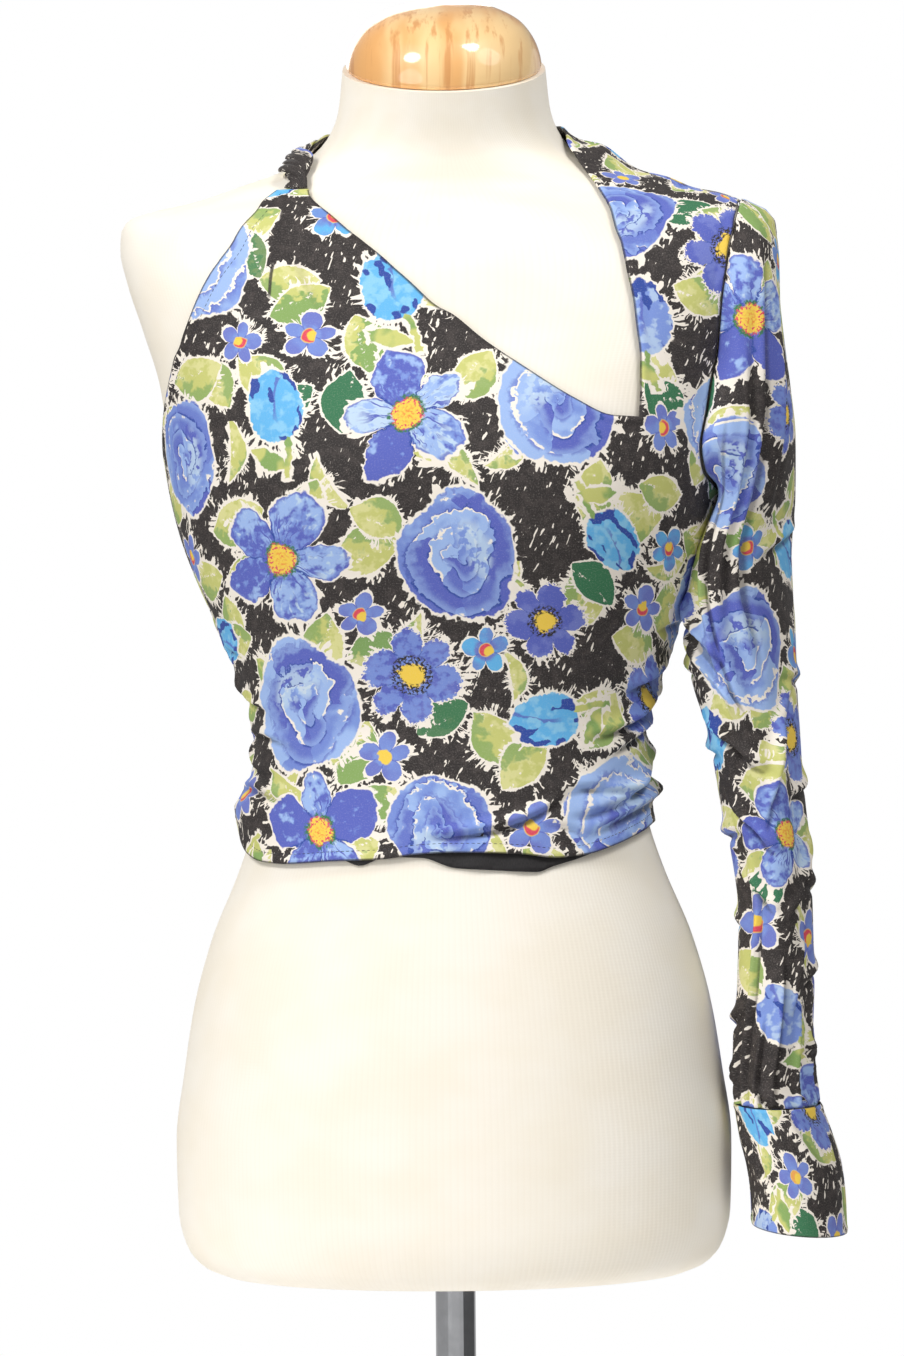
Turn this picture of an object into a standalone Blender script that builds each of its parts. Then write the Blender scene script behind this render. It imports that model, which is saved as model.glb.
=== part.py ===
"""A cropped long-sleeve blouse with one sleeve, worn by a limbless dress form on a stand.

The blouse is cut and sewn from flat cloth: a front that carries the right shoulder, a
back, one sleeve, one cuff, a shoulder twist that joins front and back over the bare
shoulder, and a lining that shows below the front hem.  Every piece is a thin wall draped
over the dress form.  Lengths in the tables are millimetres above the underside of the
form's body, the scene is in metres with +Z up, and the front of the form faces -Y.
"""

import math

import bmesh
import bpy
import numpy as np
from mathutils import Vector
from mathutils.geometry import delaunay_2d_cdt

MM = 0.001

# ---------------------------------------------------------------- stand
BODY_LIFT = 212.0          # underside of the body above the ground
BASE_RADIUS = 150.0
BASE_HEIGHT = 16.0
BASE_EDGE = 5.0
POLE_RADIUS = 12.0
POLE_SOCKET = 60.0         # how far the pole reaches up into the body
SEAM_GAP = 0.3
ROUND_STEPS = 32

# ---------------------------------------------------------------- dress form
# One row for each level of the body.  `up` is a tape laid up the side of the body, over
# the shoulder tip and along the shoulder to the neck.  The side point of a level lies at
# (side_x, side_y, side_z), its front point at (0, front_y, front_z), its back point at
# (0, back_y, back_z), and `square` is how boxy the curve between them is.
FORM_COLUMNS = ("up", "side_x", "side_y", "side_z", "front_y", "front_z",
                "back_y", "back_z", "square")
FORM_ROWS = (
    (0,   140.0,   5.0,   0.0,  -88.0,   0.0, 101.0,   0.0, 0.96),
    (6,   151.5,   5.0,   5.0,  -98.0,   5.0, 112.0,   5.0, 0.96),
    (18,  161.0,   5.0,  17.0, -106.0,  17.0, 120.0,  17.0, 0.96),
    (36,  165.5,   5.0,  36.0, -111.0,  36.0, 125.0,  36.0, 0.96),
    (80,  166.5,   5.0,  80.0, -114.0,  80.0, 129.0,  80.0, 0.96),
    (120, 161.5,   5.0, 120.0, -113.0, 120.0, 128.0, 120.0, 0.96),
    (160, 155.0,   4.0, 160.0, -109.0, 160.0, 122.0, 160.0, 0.96),
    (200, 144.0,   3.0, 200.0, -103.0, 200.0, 112.0, 200.0, 0.96),
    (240, 127.5,   1.0, 240.0,  -95.0, 240.0,  99.0, 240.0, 0.96),
    (262, 120.0,   0.5, 262.0,  -91.0, 262.0,  92.5, 262.0, 0.96),
    (282, 115.0,   0.0, 282.0,  -88.5, 282.0,  88.0, 282.0, 0.96),
    (300, 112.8,  -0.5, 300.0,  -87.0, 300.0,  85.0, 300.0, 0.96),
    (322, 112.3,  -1.0, 322.0,  -86.5, 322.0,  83.5, 322.0, 0.96),
    (342, 115.0,  -1.5, 342.0,  -88.5, 342.0,  83.5, 342.0, 0.95),
    (360, 121.5,  -2.0, 360.0,  -92.0, 360.0,  85.0, 360.0, 0.94),
    (378, 129.0,  -2.0, 378.0,  -96.5, 378.0,  87.5, 378.0, 0.94),
    (412, 145.0,  -2.0, 412.0, -106.0, 412.0,  94.0, 412.0, 0.93),
    (445, 157.0,  -1.0, 445.0, -113.5, 445.0,  99.5, 445.0, 0.91),
    (474, 163.5,   0.0, 474.0, -116.5, 474.0, 103.5, 474.0, 0.89),
    (502, 167.5,   2.0, 502.0, -113.5, 499.0, 107.5, 501.0, 0.86),
    (532, 172.0,   4.0, 532.0, -107.0, 525.0, 110.0, 529.0, 0.83),
    (565, 182.0,   6.0, 565.0,  -98.0, 550.0, 111.0, 558.0, 0.81),
    (595, 191.5,   7.0, 595.0,  -90.0, 573.0, 109.0, 585.0, 0.80),
    (613, 195.3,   8.0, 613.0,  -84.0, 589.0, 105.5, 604.0, 0.80),
    (624, 194.8,   8.0, 624.0,  -79.0, 602.0, 101.0, 618.0, 0.81),
    (634, 189.5,   8.0, 632.2,  -75.0, 612.0,  96.5, 630.0, 0.82),
    (647, 177.0,   7.5, 636.5,  -70.5, 624.0,  89.5, 643.0, 0.84),
    (675, 150.0,   6.0, 642.5,  -66.5, 637.0,  81.5, 658.0, 0.88),
    (703, 123.5,   3.0, 651.0,  -64.0, 648.0,  74.0, 670.5, 0.92),
    (732,  96.0,   0.0, 660.5,  -64.0, 659.0,  67.5, 682.5, 0.96),
    (752,  78.5,  -3.0, 669.5,  -65.0, 667.0,  62.5, 692.5, 1.0),
    (766,  69.0,  -6.0, 680.0,  -67.0, 675.0,  58.5, 702.5, 1.0),
    (780,  63.5,  -9.5, 693.5,  -70.0, 684.0,  53.5, 715.0, 1.0),
    (806,  60.5, -13.5, 718.5,  -74.0, 696.0,  46.5, 740.5, 1.0),
)
FORM_LEVELS = (0, 3, 8, 18, 36, 75, 115, 150, 180, 210, 240, 270, 300, 330, 355, 380, 410,
               440, 474, 502, 532, 562, 588, 606, 620, 634, 650, 677, 705, 732, 752, 767,
               783, 806)
FORM_SIDES = 44

BUST_ACROSS = 80.0         # each side of the centre
BUST_UP = 468.0
BUST_PROUD = 9.0
BUST_SPREAD = 46.0

CAP_HALF_WIDTH = 58.2
CAP_HALF_DEPTH = 61.0
CAP_COLUMNS = ("across", "rise")       # share of the half width, height above the neck
CAP_ROWS = ((0.985, 0.0), (1.0, 2.5), (0.99, 6.5), (0.965, 11.5), (0.93, 16.2),
            (0.878, 21.0), (0.81, 25.6), (0.68, 30.6), (0.5, 34.8), (0.26, 37.2))
CAP_TOP = 38.0

# ---------------------------------------------------------------- cloth
CLOTH = 1.2                # wall of every outer piece
LINING = 1.0
EASE_LOW = 4.2             # outside of the cloth above the form, below the armholes
EASE_HIGH = 3.0            # and at the shoulders
EASE_TURN_UP = 600.0
EASE_TURN_SPREAD = 35.0
LINING_EASE = 2.4
PER_DEGREE = 2.0           # millimetres of cloth for a degree round the body
SEAM_ANGLE = 0.12          # half the gap of a side or shoulder seam, in degrees
EDGE_PITCH = 10.0          # spacing of the points along a panel's edges
FINE_ROW = 7.0             # spacing of the rows of points where the cloth is gathered
COARSE_ROW = 15.0
ACROSS_PITCH = 8.5         # degrees between the points of a row
GATHER_TOP = 396.0
GATHER_REACH = 50.0        # degrees from a side seam

# Places where the cloth stands off the form: its middle, how far it spreads, how much.
SWELL_COLUMNS = ("angle", "up", "angle_spread", "up_spread", "height")
SWELL_ROWS = (
    (180, 276, 24, 14, 9.0),      # the hem kicks out at the side without a sleeve
    (0, 738, 30, 20, 8.5),        # the shoulder seam stands up beside the neck
    (2, 694, 24, 15, 3.4),        # along the shoulder
    (4, 664, 22, 16, 2.6),        # and again before the sleeve
)

# Gathers that run in from the side seams: where each starts on the seam, where it fades
# out, its height at the seam and its half width.
GATHER_COLUMNS = ("angle", "up", "end_angle", "end_up", "height", "half_width")
GATHER_ROWS = (
    (0, 384, 26, 372, 1.6, 6.0),
    (0, 366, 40, 352, 2.4, 6.5),
    (0, 348, 46, 324, 3.6, 6.5),
    (0, 328, 40, 306, 2.4, 6.0),
    (0, 308, 50, 284, 3.4, 6.5),
    (0, 286, 58, 270, 4.4, 7.0),
    (0, 376, -24, 366, 1.8, 6.0),
    (0, 354, -38, 338, 3.0, 6.5),
    (0, 334, -44, 316, 2.6, 6.5),
    (0, 312, -36, 300, 3.2, 6.5),
    (0, 288, -50, 276, 4.0, 7.0),
    (180, 390, 160, 378, 1.6, 6.0),
    (180, 372, 150, 358, 2.2, 6.0),
    (180, 353, 140, 342, 3.6, 5.5),
    (180, 330, 152, 322, 1.8, 6.0),
    (180, 310, 146, 300, 2.2, 6.5),
    (180, 380, 202, 368, 1.8, 6.0),
    (180, 358, 216, 342, 3.2, 6.0),
    (180, 336, 210, 324, 2.0, 6.0),
    (180, 314, 214, 302, 2.4, 6.5),
    (180, 292, 220, 284, 2.6, 7.0),
)

FRONT_HEM = ((0, 268), (12, 266.5), (23, 263), (32, 259.5), (42, 255), (52, 251), (62, 249.5),
             (72, 252), (80, 253), (90, 253.5), (99, 252.5), (107, 250), (122, 248.5),
             (140, 246.3), (150, 247), (160, 250.5), (170, 256), (180, 262))
BACK_HEM = ((180, 262), (192, 258), (206, 254), (225, 251), (250, 250), (275, 250),
            (300, 252), (325, 257), (345, 264), (360, 268))
# The armhole of the sleeve, by the turn round it: 0 at the shoulder, 90 in front, 180
# under the arm and 270 behind.
ARMHOLE_COLUMNS = ("turn", "angle", "up")
ARMHOLE_ROWS = (
    (-15, -9.0, 646), (0, 0.0, 649), (15, 13.0, 646), (30, 25.0, 638), (45, 33.5, 626),
    (60, 37.0, 609), (75, 36.5, 589), (90, 33.8, 565), (105, 31.0, 540), (120, 31.0, 516),
    (135, 32.0, 493), (150, 28.5, 475), (165, 15.0, 465), (180, 0.0, 462),
    (195, -10.0, 464), (210, -19.0, 472), (225, -23.0, 492), (240, -24.0, 516),
    (255, -24.5, 540), (270, -25.5, 565), (285, -26.0, 589), (300, -25.5, 609),
    (315, -23.0, 626), (330, -17.5, 638), (345, -9.0, 646), (360, 0.0, 649),
    (375, 13.0, 646))
# The neckline, from the neck down the steep side, round the notch and up to the twist.
NECK_EDGE = ((0, 768), (20, 758), (38, 731), (52, 690), (60.5, 650), (63.4, 630),
             (62.9, 613), (61, 594), (57.8, 565), (55.5, 547), (53.7, 523), (53.0, 506.5))
NOTCH_EDGE = ((53.0, 506.5), (59.8, 507.3), (68.1, 517.2), (77.9, 537.6), (86.0, 563.3),
              (90.6, 589.4), (94.2, 610.6), (100.2, 628.8), (108.3, 647.3),
              (116.5, 668.5), (121.5, 684))
# The bare arm's edge of the front, from the twist to the side seam.
FRONT_BARE_EDGE = (
    (131.5, 684), (128.6, 667), (124.5, 642), (124.6, 627.7), (127.5, 614.5),
    (130.5, 604.7), (133.9, 592), (138.6, 576.4), (144.6, 559.1), (152.4, 541.5),
    (160, 524), (167, 508), (174, 495), (180, 487))
BACK_BARE_EDGE = (
    (180, 487), (188, 498), (194, 510.5), (200, 524.5), (207, 541.5), (213.9, 558),
    (219, 573), (223.5, 587.5), (227.4, 602), (230.4, 614), (232.2, 625.5), (232.6, 638),
    (231.5, 652), (229, 671), (225.5, 690), (221.5, 710), (218, 728), (215.5, 741))
BACK_NECKLINE = (
    (215, 760), (222, 757), (234, 753.5), (250, 749.5), (270, 747.5), (290, 750), (310, 756),
    (330, 763), (346, 767), (360, 768))
LINING_HEM = ((24, 264), (40, 257), (56, 248.5), (63.3, 245), (68, 242), (78.5, 243.3),
              (89, 245), (97.3, 251), (107, 251.5), (114, 246.5), (121, 250.5), (132, 250))
LINING_TOP_UP = 296.0

# ---------------------------------------------------------------- sleeve and cuff
# Level sections down the sleeve and the cuff.  `down` is the tape along the outside of the
# arm, `outer` and `inner` are the ends of the section seen from the front, `mid_y` and
# `half_depth` its middle and its half depth, and `lean` brings its front in over the body.
RING_COLUMNS = ("down", "outer_x", "outer_z", "inner_x", "inner_z", "mid_y", "half_depth",
                "lean")
SLEEVE_ROWS = (
    (0,   178.0, 640.0, 160.0, 640.0,  -2.0, 20.0,  0.0),
    (10,  187.5, 637.0, 154.0, 637.0,  -2.0, 32.0,  0.0),
    (20,  194.5, 630.0, 150.0, 630.0,  -3.0, 43.0,  0.0),
    (32,  198.5, 619.0, 149.0, 619.0,  -4.0, 51.0,  0.0),
    (50,  199.5, 601.0, 149.0, 601.0,  -5.0, 57.0,  0.0),
    (70,  199.5, 581.0, 149.0, 581.0,  -6.0, 60.0,  0.0),
    (95,  202.0, 556.0, 150.0, 556.0,  -7.0, 61.0,  2.0),
    (125, 206.0, 527.0, 151.0, 527.0,  -8.0, 62.0,  5.0),
    (155, 209.5, 497.0, 152.0, 497.0,  -8.0, 62.0,  9.0),
    (190, 210.0, 462.0, 150.0, 462.0,  -8.0, 60.0, 15.0),
    (207, 209.0, 445.0, 146.5, 445.0,  -8.0, 58.0, 18.0),
    (225, 208.0, 427.0, 143.0, 427.0,  -8.0, 56.0, 20.0),
    (250, 208.5, 402.0, 140.5, 402.0,  -8.5, 53.5, 20.0),
    (265, 209.0, 387.0, 140.5, 387.0,  -9.0, 52.0, 18.0),
    (290, 209.0, 362.0, 141.5, 362.0,  -9.5, 50.0, 14.0),
    (305, 209.0, 347.0, 145.0, 347.0, -10.0, 48.5, 12.0),
    (330, 210.0, 322.0, 153.0, 322.0, -10.5, 46.0,  9.0),
    (355, 211.0, 297.0, 157.5, 297.0, -11.0, 44.0,  7.0),
    (380, 213.0, 273.0, 161.5, 273.0, -11.5, 42.5,  6.0),
    (400, 215.0, 253.0, 166.0, 253.0, -12.0, 41.0,  5.0),
    (440, 216.0, 213.0, 170.5, 213.0, -12.5, 39.0,  5.0),
    (480, 216.5, 173.0, 169.5, 173.5, -13.0, 38.0,  5.0),
    (515, 215.5, 138.0, 166.5, 139.0, -13.5, 37.0,  6.0),
    (535, 215.5, 118.0, 166.0, 120.0, -14.0, 37.0,  8.0),
    (554, 218.5,  98.8, 167.0, 102.0, -14.0, 39.0,  9.0),
)
CUFF_ROWS = (
    (0,  219.0, 98.0, 167.5, 101.2, -14.0, 39.5, 9.0),
    (20, 226.0, 79.0, 170.5,  82.0, -14.0, 40.5, 8.0),
    (38, 231.0, 61.0, 175.0,  63.0, -14.0, 41.0, 7.0),
    (58, 233.0, 41.0, 177.5,  45.0, -14.0, 41.0, 6.0),
    (77, 233.5, 22.0, 178.0,  29.0, -14.0, 41.0, 6.0),
)
# Soft folds that run down the sleeve: where each lies round it at the top and at the
# cuff, the stretch of the arm that it takes, its depth and its half width in degrees.
FOLD_COLUMNS = ("turn", "end_turn", "from_down", "to_down", "depth", "half_width")
FOLD_ROWS = (
    (74, 66, 60, 345, 5.0, 15),
    (118, 98, 200, 520, 5.0, 15),
    (28, 30, 260, 545, 3.5, 14),
    (142, 128, 330, 560, 3.5, 14),
    (-114, -98, 120, 430, 5.0, 15),
    (-62, -44, 110, 545, 5.0, 15),
    (-150, -138, 320, 560, 4.0, 14),
)
ARMHOLE_STEPS = 15         # points along half of an armhole, shared by sleeve and panels
ARMHOLE_REACH = 34.0       # how far the armhole pulls the sleeve to its own shape
PER_TURN = 0.74            # millimetres of cloth for a degree round the sleeve
SLEEVE_TURN_PITCH = 12.0   # degrees between the points of a row
SLEEVE_ROW_HIGH = 13.0     # spacing of the rows beside the body
SLEEVE_ROW_LOW = 19.0      # and below it
SLEEVE_LOW_FROM = 300.0
CUFF_RINGS = 6
CUFF_SIDES = 34
CUFF_LAP_GAP = 0.5
CUFF_OVERLAP = 16.0        # degrees by which one end of the cuff covers the other
CUFF_END_TURN = 205.0      # where the outer end lies, behind the inside of the wrist
ARM_CLEARANCE = 1.0        # between the sleeve and the body's cloth or the form
OVER_FORM = 1.6            # from the form to the sleeve's wall inside the armhole
ARM_MIDDLE_UP = 556.0      # level of the middle of the armhole
ARMHOLE_INSET = 0.9        # the sleeve's edge inside the armhole's
ARMHOLE_RISE = 1.4         # and how far it lies outside the body's cloth under the arm

# ---------------------------------------------------------------- shoulder twist
TWIST_COLUMNS = ("along", "angle", "up", "half_width", "half_thick")
TWIST_ROWS = ((0, 126.5, 687.2, 7.0, 1.3), (8, 129.0, 696, 6.0, 2.4),
              (22, 136, 711, 8.4, 3.6), (36, 150, 729, 9.6, 3.9), (50, 170, 741, 8.6, 3.6),
              (64, 192, 749, 8.0, 3.2), (76, 205.5, 751, 7.6, 2.4), (84.5, 212.9, 751, 8.0, 1.3))
TWIST_TURNS = 1.25
TWIST_LOBE = 0.2
TWIST_RINGS = 22
TWIST_SIDES = 16
TWIST_CLEARANCE = 1.0


# ================================================================ reading the tables
def table(columns, rows):
    """Turn a table of rows into a dictionary with one array for each named column."""
    values = np.array(rows, dtype=float)
    return {name: values[:, i] for i, name in enumerate(columns)}


def steady_slopes(x, y):
    """Slopes that carry a smooth curve through (x, y) with no overshoot between rows."""
    step = np.diff(x)
    secant = np.diff(y) / step
    slope = np.empty_like(y)
    slope[0], slope[-1] = secant[0], secant[-1]
    before, after = secant[:-1], secant[1:]
    w_before, w_after = 2 * step[1:] + step[:-1], step[1:] + 2 * step[:-1]
    same_way = before * after > 0
    safe_before = np.where(same_way, before, 1.0)
    safe_after = np.where(same_way, after, 1.0)
    mean = (w_before + w_after) / (w_before / safe_before + w_after / safe_after)
    slope[1:-1] = np.where(same_way, mean, 0.0)
    return slope


class Curves:
    """Smooth curves through every column of a table, read at any value of the first."""

    def __init__(self, columns, rows):
        self.data = table(columns, rows)
        self.key = self.data[columns[0]]
        self.slopes = {n: steady_slopes(self.key, v) for n, v in self.data.items()}

    def read(self, name, at):
        at = np.clip(np.asarray(at, dtype=float), self.key[0], self.key[-1])
        i = np.clip(np.searchsorted(self.key, at, side="right") - 1, 0, len(self.key) - 2)
        step = self.key[i + 1] - self.key[i]
        t = (at - self.key[i]) / step
        low, high = self.data[name][i], self.data[name][i + 1]
        slope_low, slope_high = self.slopes[name][i], self.slopes[name][i + 1]
        return (low * (1 + 2 * t) * (1 - t) ** 2 + slope_low * step * t * (1 - t) ** 2
                + high * t * t * (3 - 2 * t) - slope_high * step * t * t * (1 - t))


FORM = Curves(FORM_COLUMNS, FORM_ROWS)
ARMHOLE = Curves(ARMHOLE_COLUMNS, ARMHOLE_ROWS)
SLEEVE = Curves(RING_COLUMNS, SLEEVE_ROWS)
CUFF = Curves(RING_COLUMNS, CUFF_ROWS)
TWIST = Curves(TWIST_COLUMNS, TWIST_ROWS)
SWELLS = table(SWELL_COLUMNS, SWELL_ROWS)
GATHERS = table(GATHER_COLUMNS, GATHER_ROWS)
FOLDS = table(FOLD_COLUMNS, FOLD_ROWS)


# ================================================================ surfaces
def form_point(angle, up):
    """A point of the dress form, from the angle round it in degrees and the level.

    Angle 0 is the side with the sleeve, 90 the centre front, 180 the other side and 270
    the centre back.
    """
    angle = np.radians(np.asarray(angle, dtype=float))
    up = np.asarray(up, dtype=float)
    c, s = np.cos(angle), np.sin(angle)
    names = ("side_x", "side_y", "side_z", "front_z", "back_z", "square")
    side_x, side_y, side_z, front_z, back_z, square = (FORM.read(n, up) for n in names)
    in_front = s > 0
    mid_y = np.where(in_front, FORM.read("front_y", up), FORM.read("back_y", up))
    x = side_x * np.sign(c) * np.abs(c) ** square
    y = side_y + (mid_y - side_y) * np.abs(s) ** square
    both = (front_z + back_z) / 2 - side_z
    tilt = (front_z - back_z) / 2
    z = side_z + both * s * s + tilt * s
    bust = np.exp(-((np.abs(x) - BUST_ACROSS) ** 2 + (z - BUST_UP) ** 2)
                  / (2 * BUST_SPREAD ** 2))
    y = y - np.where(in_front, BUST_PROUD * bust * s, 0.0)
    return np.stack([x, y, z], axis=-1)


def outward(surface, a, b, step_a, step_b):
    """The outward normal of a surface of two parameters."""
    along_a = surface(a + step_a, b) - surface(a - step_a, b)
    along_b = surface(a, b + step_b) - surface(a, b - step_b)
    normal = np.cross(along_b, along_a)
    return normal / np.linalg.norm(normal, axis=-1, keepdims=True)


def off_form(angle, up, height):
    """A point at a height above the form."""
    angle, up = np.broadcast_arrays(np.asarray(angle, float), np.asarray(up, float))
    normal = outward(form_point, angle, up, 0.3, 0.5)
    return form_point(angle, up) + normal * np.asarray(height)[..., None]


def turned(angle):
    """An angle brought to between -90 and 270 degrees."""
    return (np.asarray(angle, dtype=float) + 90.0) % 360.0 - 90.0


def body_ease(angle, up):
    """How far the outside of the front and the back stands off the form."""
    angle = turned(angle)
    up = np.asarray(up, dtype=float)
    high = 1 / (1 + np.exp(-(up - EASE_TURN_UP) / EASE_TURN_SPREAD))
    ease = EASE_LOW + (EASE_HIGH - EASE_LOW) * high
    for a, u, spread_a, spread_u, height in zip(*SWELLS.values()):
        ease = ease + height * np.exp(-((angle - a) / spread_a) ** 2
                                      - ((up - u) / spread_u) ** 2)
    for a, u, end_a, end_u, height, half_width in zip(*GATHERS.values()):
        reach = (end_a - a) * PER_DEGREE
        share = (angle - a) * PER_DEGREE / reach
        centre = u + (end_u - u) * np.clip(share, -0.3, 1.0)
        fade = np.where(share > 0, np.clip(1 - share, 0, 1) ** 1.5,
                        np.clip(1 + share * 4.0, 0, 1) ** 1.5)
        ease = ease + height * fade * np.exp(-((up - centre) / half_width) ** 2)
    return ease


def arm_ring(rows, turn, down):
    """A point of a section of the sleeve or the cuff, before its folds."""
    turn_r = np.radians(turn)
    c, s = np.cos(turn_r), np.sin(turn_r)
    outer_x, outer_z, inner_x, inner_z, mid_y, half_depth, lean = (
        rows.read(n, down) for n in RING_COLUMNS[1:])
    half_x = np.sqrt(((outer_x - inner_x) / 2) ** 2 - lean ** 2)
    x = (outer_x + inner_x) / 2 + half_x * c - lean * s
    y = mid_y - half_depth * s
    z = (outer_z + inner_z) / 2 + (outer_z - inner_z) / 2 * c
    return np.stack([x, y, z], axis=-1)


def arm_folds(turn, down):
    """How deep the soft folds are at a place on the sleeve."""
    depth = np.zeros(np.broadcast(turn, down).shape)
    for top, end, start, stop, deep, half_width in zip(*FOLDS.values()):
        share = np.clip((down - start) / (stop - start), 0, 1)
        away = (turn - (top + (end - top) * share) + 180) % 360 - 180
        fade = np.sin(np.pi * share) ** 0.7
        depth = depth + deep * fade * np.exp(-(away / half_width) ** 2)
    return depth


def moved_clear(points, clearance):
    """Move points of the sleeve out of the body's cloth and off the form."""
    angles, ups = np.meshgrid(np.arange(-88.0, 92.0, 3.0), np.arange(24.0, 640.0, 6.0))
    angles, ups = angles.ravel(), ups.ravel()
    turn = np.degrees(np.arctan2(angles * PER_DEGREE, ups - ARM_MIDDLE_UP)) % 360
    hole = np.hypot(ARMHOLE.read("angle", turn) * PER_DEGREE,
                    ARMHOLE.read("up", turn) - ARM_MIDDLE_UP)
    in_hole = np.hypot(angles * PER_DEGREE, ups - ARM_MIDDLE_UP) < hole
    covered = ~in_hole & (ups > np.interp(np.abs(angles), (0, 90), (262, 246)))
    height = np.where(in_hole, CLOTH + OVER_FORM, 0.0)
    height = np.where(covered, body_ease(angles, ups), height)
    surface = off_form(angles, ups, height)
    normal = outward(form_point, angles, ups, 0.3, 0.5)
    flat = points.reshape(-1, 3)
    nearest = np.array([np.argmin(((surface - p) ** 2).sum(axis=1)) for p in flat])
    gap = ((flat - surface[nearest]) * normal[nearest]).sum(axis=1)
    push = np.maximum(clearance - gap, 0.0)
    return (flat + normal[nearest] * push[:, None]).reshape(points.shape)


def armhole_edge(turn, inset):
    """Angle and level of the armhole, moved towards its middle by an inset."""
    angle, up = ARMHOLE.read("angle", turn), ARMHOLE.read("up", turn)
    reach = np.hypot(angle * PER_DEGREE, up - ARM_MIDDLE_UP)
    share = 1 - inset / reach
    return angle * share, ARM_MIDDLE_UP + (up - ARM_MIDDLE_UP) * share


def armhole_seat(turns):
    """The sleeve's edge round the armhole: its points and their places on the sleeve."""
    angle, up = armhole_edge(turns, ARMHOLE_INSET)
    rise = ARMHOLE_RISE * (1 - np.cos(np.radians(turns))) / 2
    edge = off_form(angle, up, body_ease(angle, up) + rise)
    down = np.interp(edge[:, 2], SLEEVE.data["outer_z"][::-1], SLEEVE.key[::-1])
    outer_x, inner_x, mid_y, half_depth, lean = (
        SLEEVE.read(n, down) for n in ("outer_x", "inner_x", "mid_y", "half_depth", "lean"))
    half_x = np.sqrt(((outer_x - inner_x) / 2) ** 2 - lean ** 2)
    sine = (mid_y - edge[:, 1]) / half_depth
    cosine = (edge[:, 0] - (outer_x + inner_x) / 2 + lean * sine) / half_x
    turn = np.degrees(np.unwrap(np.arctan2(sine, cosine)))
    return edge, turn, down


def sleeve_surface(turn, down):
    """Points of the outside of the sleeve at turns round it and tape lengths down it."""
    edge, edge_turn, edge_down = armhole_seat(np.arange(0.0, 360.0, 2.0))
    pull = edge - arm_ring(SLEEVE, edge_turn, edge_down)
    aside = (turn[:, None] - edge_turn + 180) % 360 - 180
    away = np.hypot(aside * PER_TURN, down[:, None] - edge_down) + 1e-3
    weight = away ** -4
    near = np.exp(-(away.min(axis=1) / ARMHOLE_REACH) ** 2)
    pull = (weight @ pull) / weight.sum(axis=1, keepdims=True)
    points = arm_ring(SLEEVE, turn, down)
    normal = -outward(lambda a, b: arm_ring(SLEEVE, a, b), turn, down, 1.0, 1.0)
    inward = arm_folds(turn, down) * (1 - near)
    points = points + pull * near[:, None] - normal * inward[:, None]
    on_edge = away.min(axis=1) < 0.5
    return np.where(on_edge[:, None], points, moved_clear(points, ARM_CLEARANCE))


def surface_normals(points, faces):
    """The normal at every point of a sheet, from the faces that meet there."""
    normals = np.zeros_like(points)
    for face in faces:
        a, b, c = (points[i] for i in face[:3])
        normal = np.cross(b - a, c - a)
        for i in face:
            normals[i] += normal
    return normals / np.linalg.norm(normals, axis=1, keepdims=True)


# ================================================================ making meshes
def add_object(name, points, faces, material, smooth=True):
    """Make an object from points in millimetres above the underside of the body."""
    points = np.array(points) + (0, 0, BODY_LIFT)
    mesh = bpy.data.meshes.new(name)
    mesh.from_pydata((points * MM).tolist(), [], faces)
    work = bmesh.new()
    work.from_mesh(mesh)
    bmesh.ops.recalc_face_normals(work, faces=work.faces)
    work.to_mesh(mesh)
    work.free()
    if smooth:
        mesh.shade_smooth()
        mesh.set_sharp_from_angle(angle=math.radians(40))
    mesh.materials.append(material)
    ob = bpy.data.objects.new(name, mesh)
    bpy.context.collection.objects.link(ob)
    return ob


def ring_faces(rings, sides, closed=True):
    """Quads between neighbouring rings of a grid of points."""
    faces = []
    for r in range(rings - 1):
        for k in range(sides if closed else sides - 1):
            a, b = r * sides + k, r * sides + (k + 1) % sides
            faces.append((a, b, b + sides, a + sides))
    return faces


def sheet_wall(name, outside, inside, faces, material):
    """Close a sheet of faces into a wall with an inner sheet and a rim."""
    count = len(outside)
    edges = {}
    for face in faces:
        for a, b in zip(face, face[1:] + face[:1]):
            edges[(a, b)] = edges.get((a, b), 0) + 1
    rim = [(b, a, a + count, b + count) for a, b in edges if (b, a) not in edges]
    back = [tuple(i + count for i in reversed(face)) for face in faces]
    points = np.concatenate([outside, inside])
    return add_object(name, points, list(faces) + back + rim, material)


def smooth_line(points, pitch):
    """Points about a pitch apart along a smooth curve through the given ones."""
    points = np.array(points, dtype=float)
    cloth = points * (PER_DEGREE, 1.0)
    steps = np.hypot(*np.diff(cloth, axis=0).T)
    along = np.concatenate([[0.0], np.cumsum(steps)])
    curve = Curves(("along", "angle", "up"), np.column_stack([along, points]))
    at = np.linspace(0, along[-1], max(2, int(round(along[-1] / pitch)) + 1))
    return list(zip(curve.read("angle", at), curve.read("up", at)))


def joined(*lines):
    """One closed outline from lines that follow each other, with no point twice."""
    outline = []
    for line in lines:
        for point in line:
            if not outline or math.dist(point, outline[-1]) > 0.05:
                outline.append(tuple(point))
    if math.dist(outline[0], outline[-1]) < 0.05:
        outline.pop()
    return outline


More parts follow.
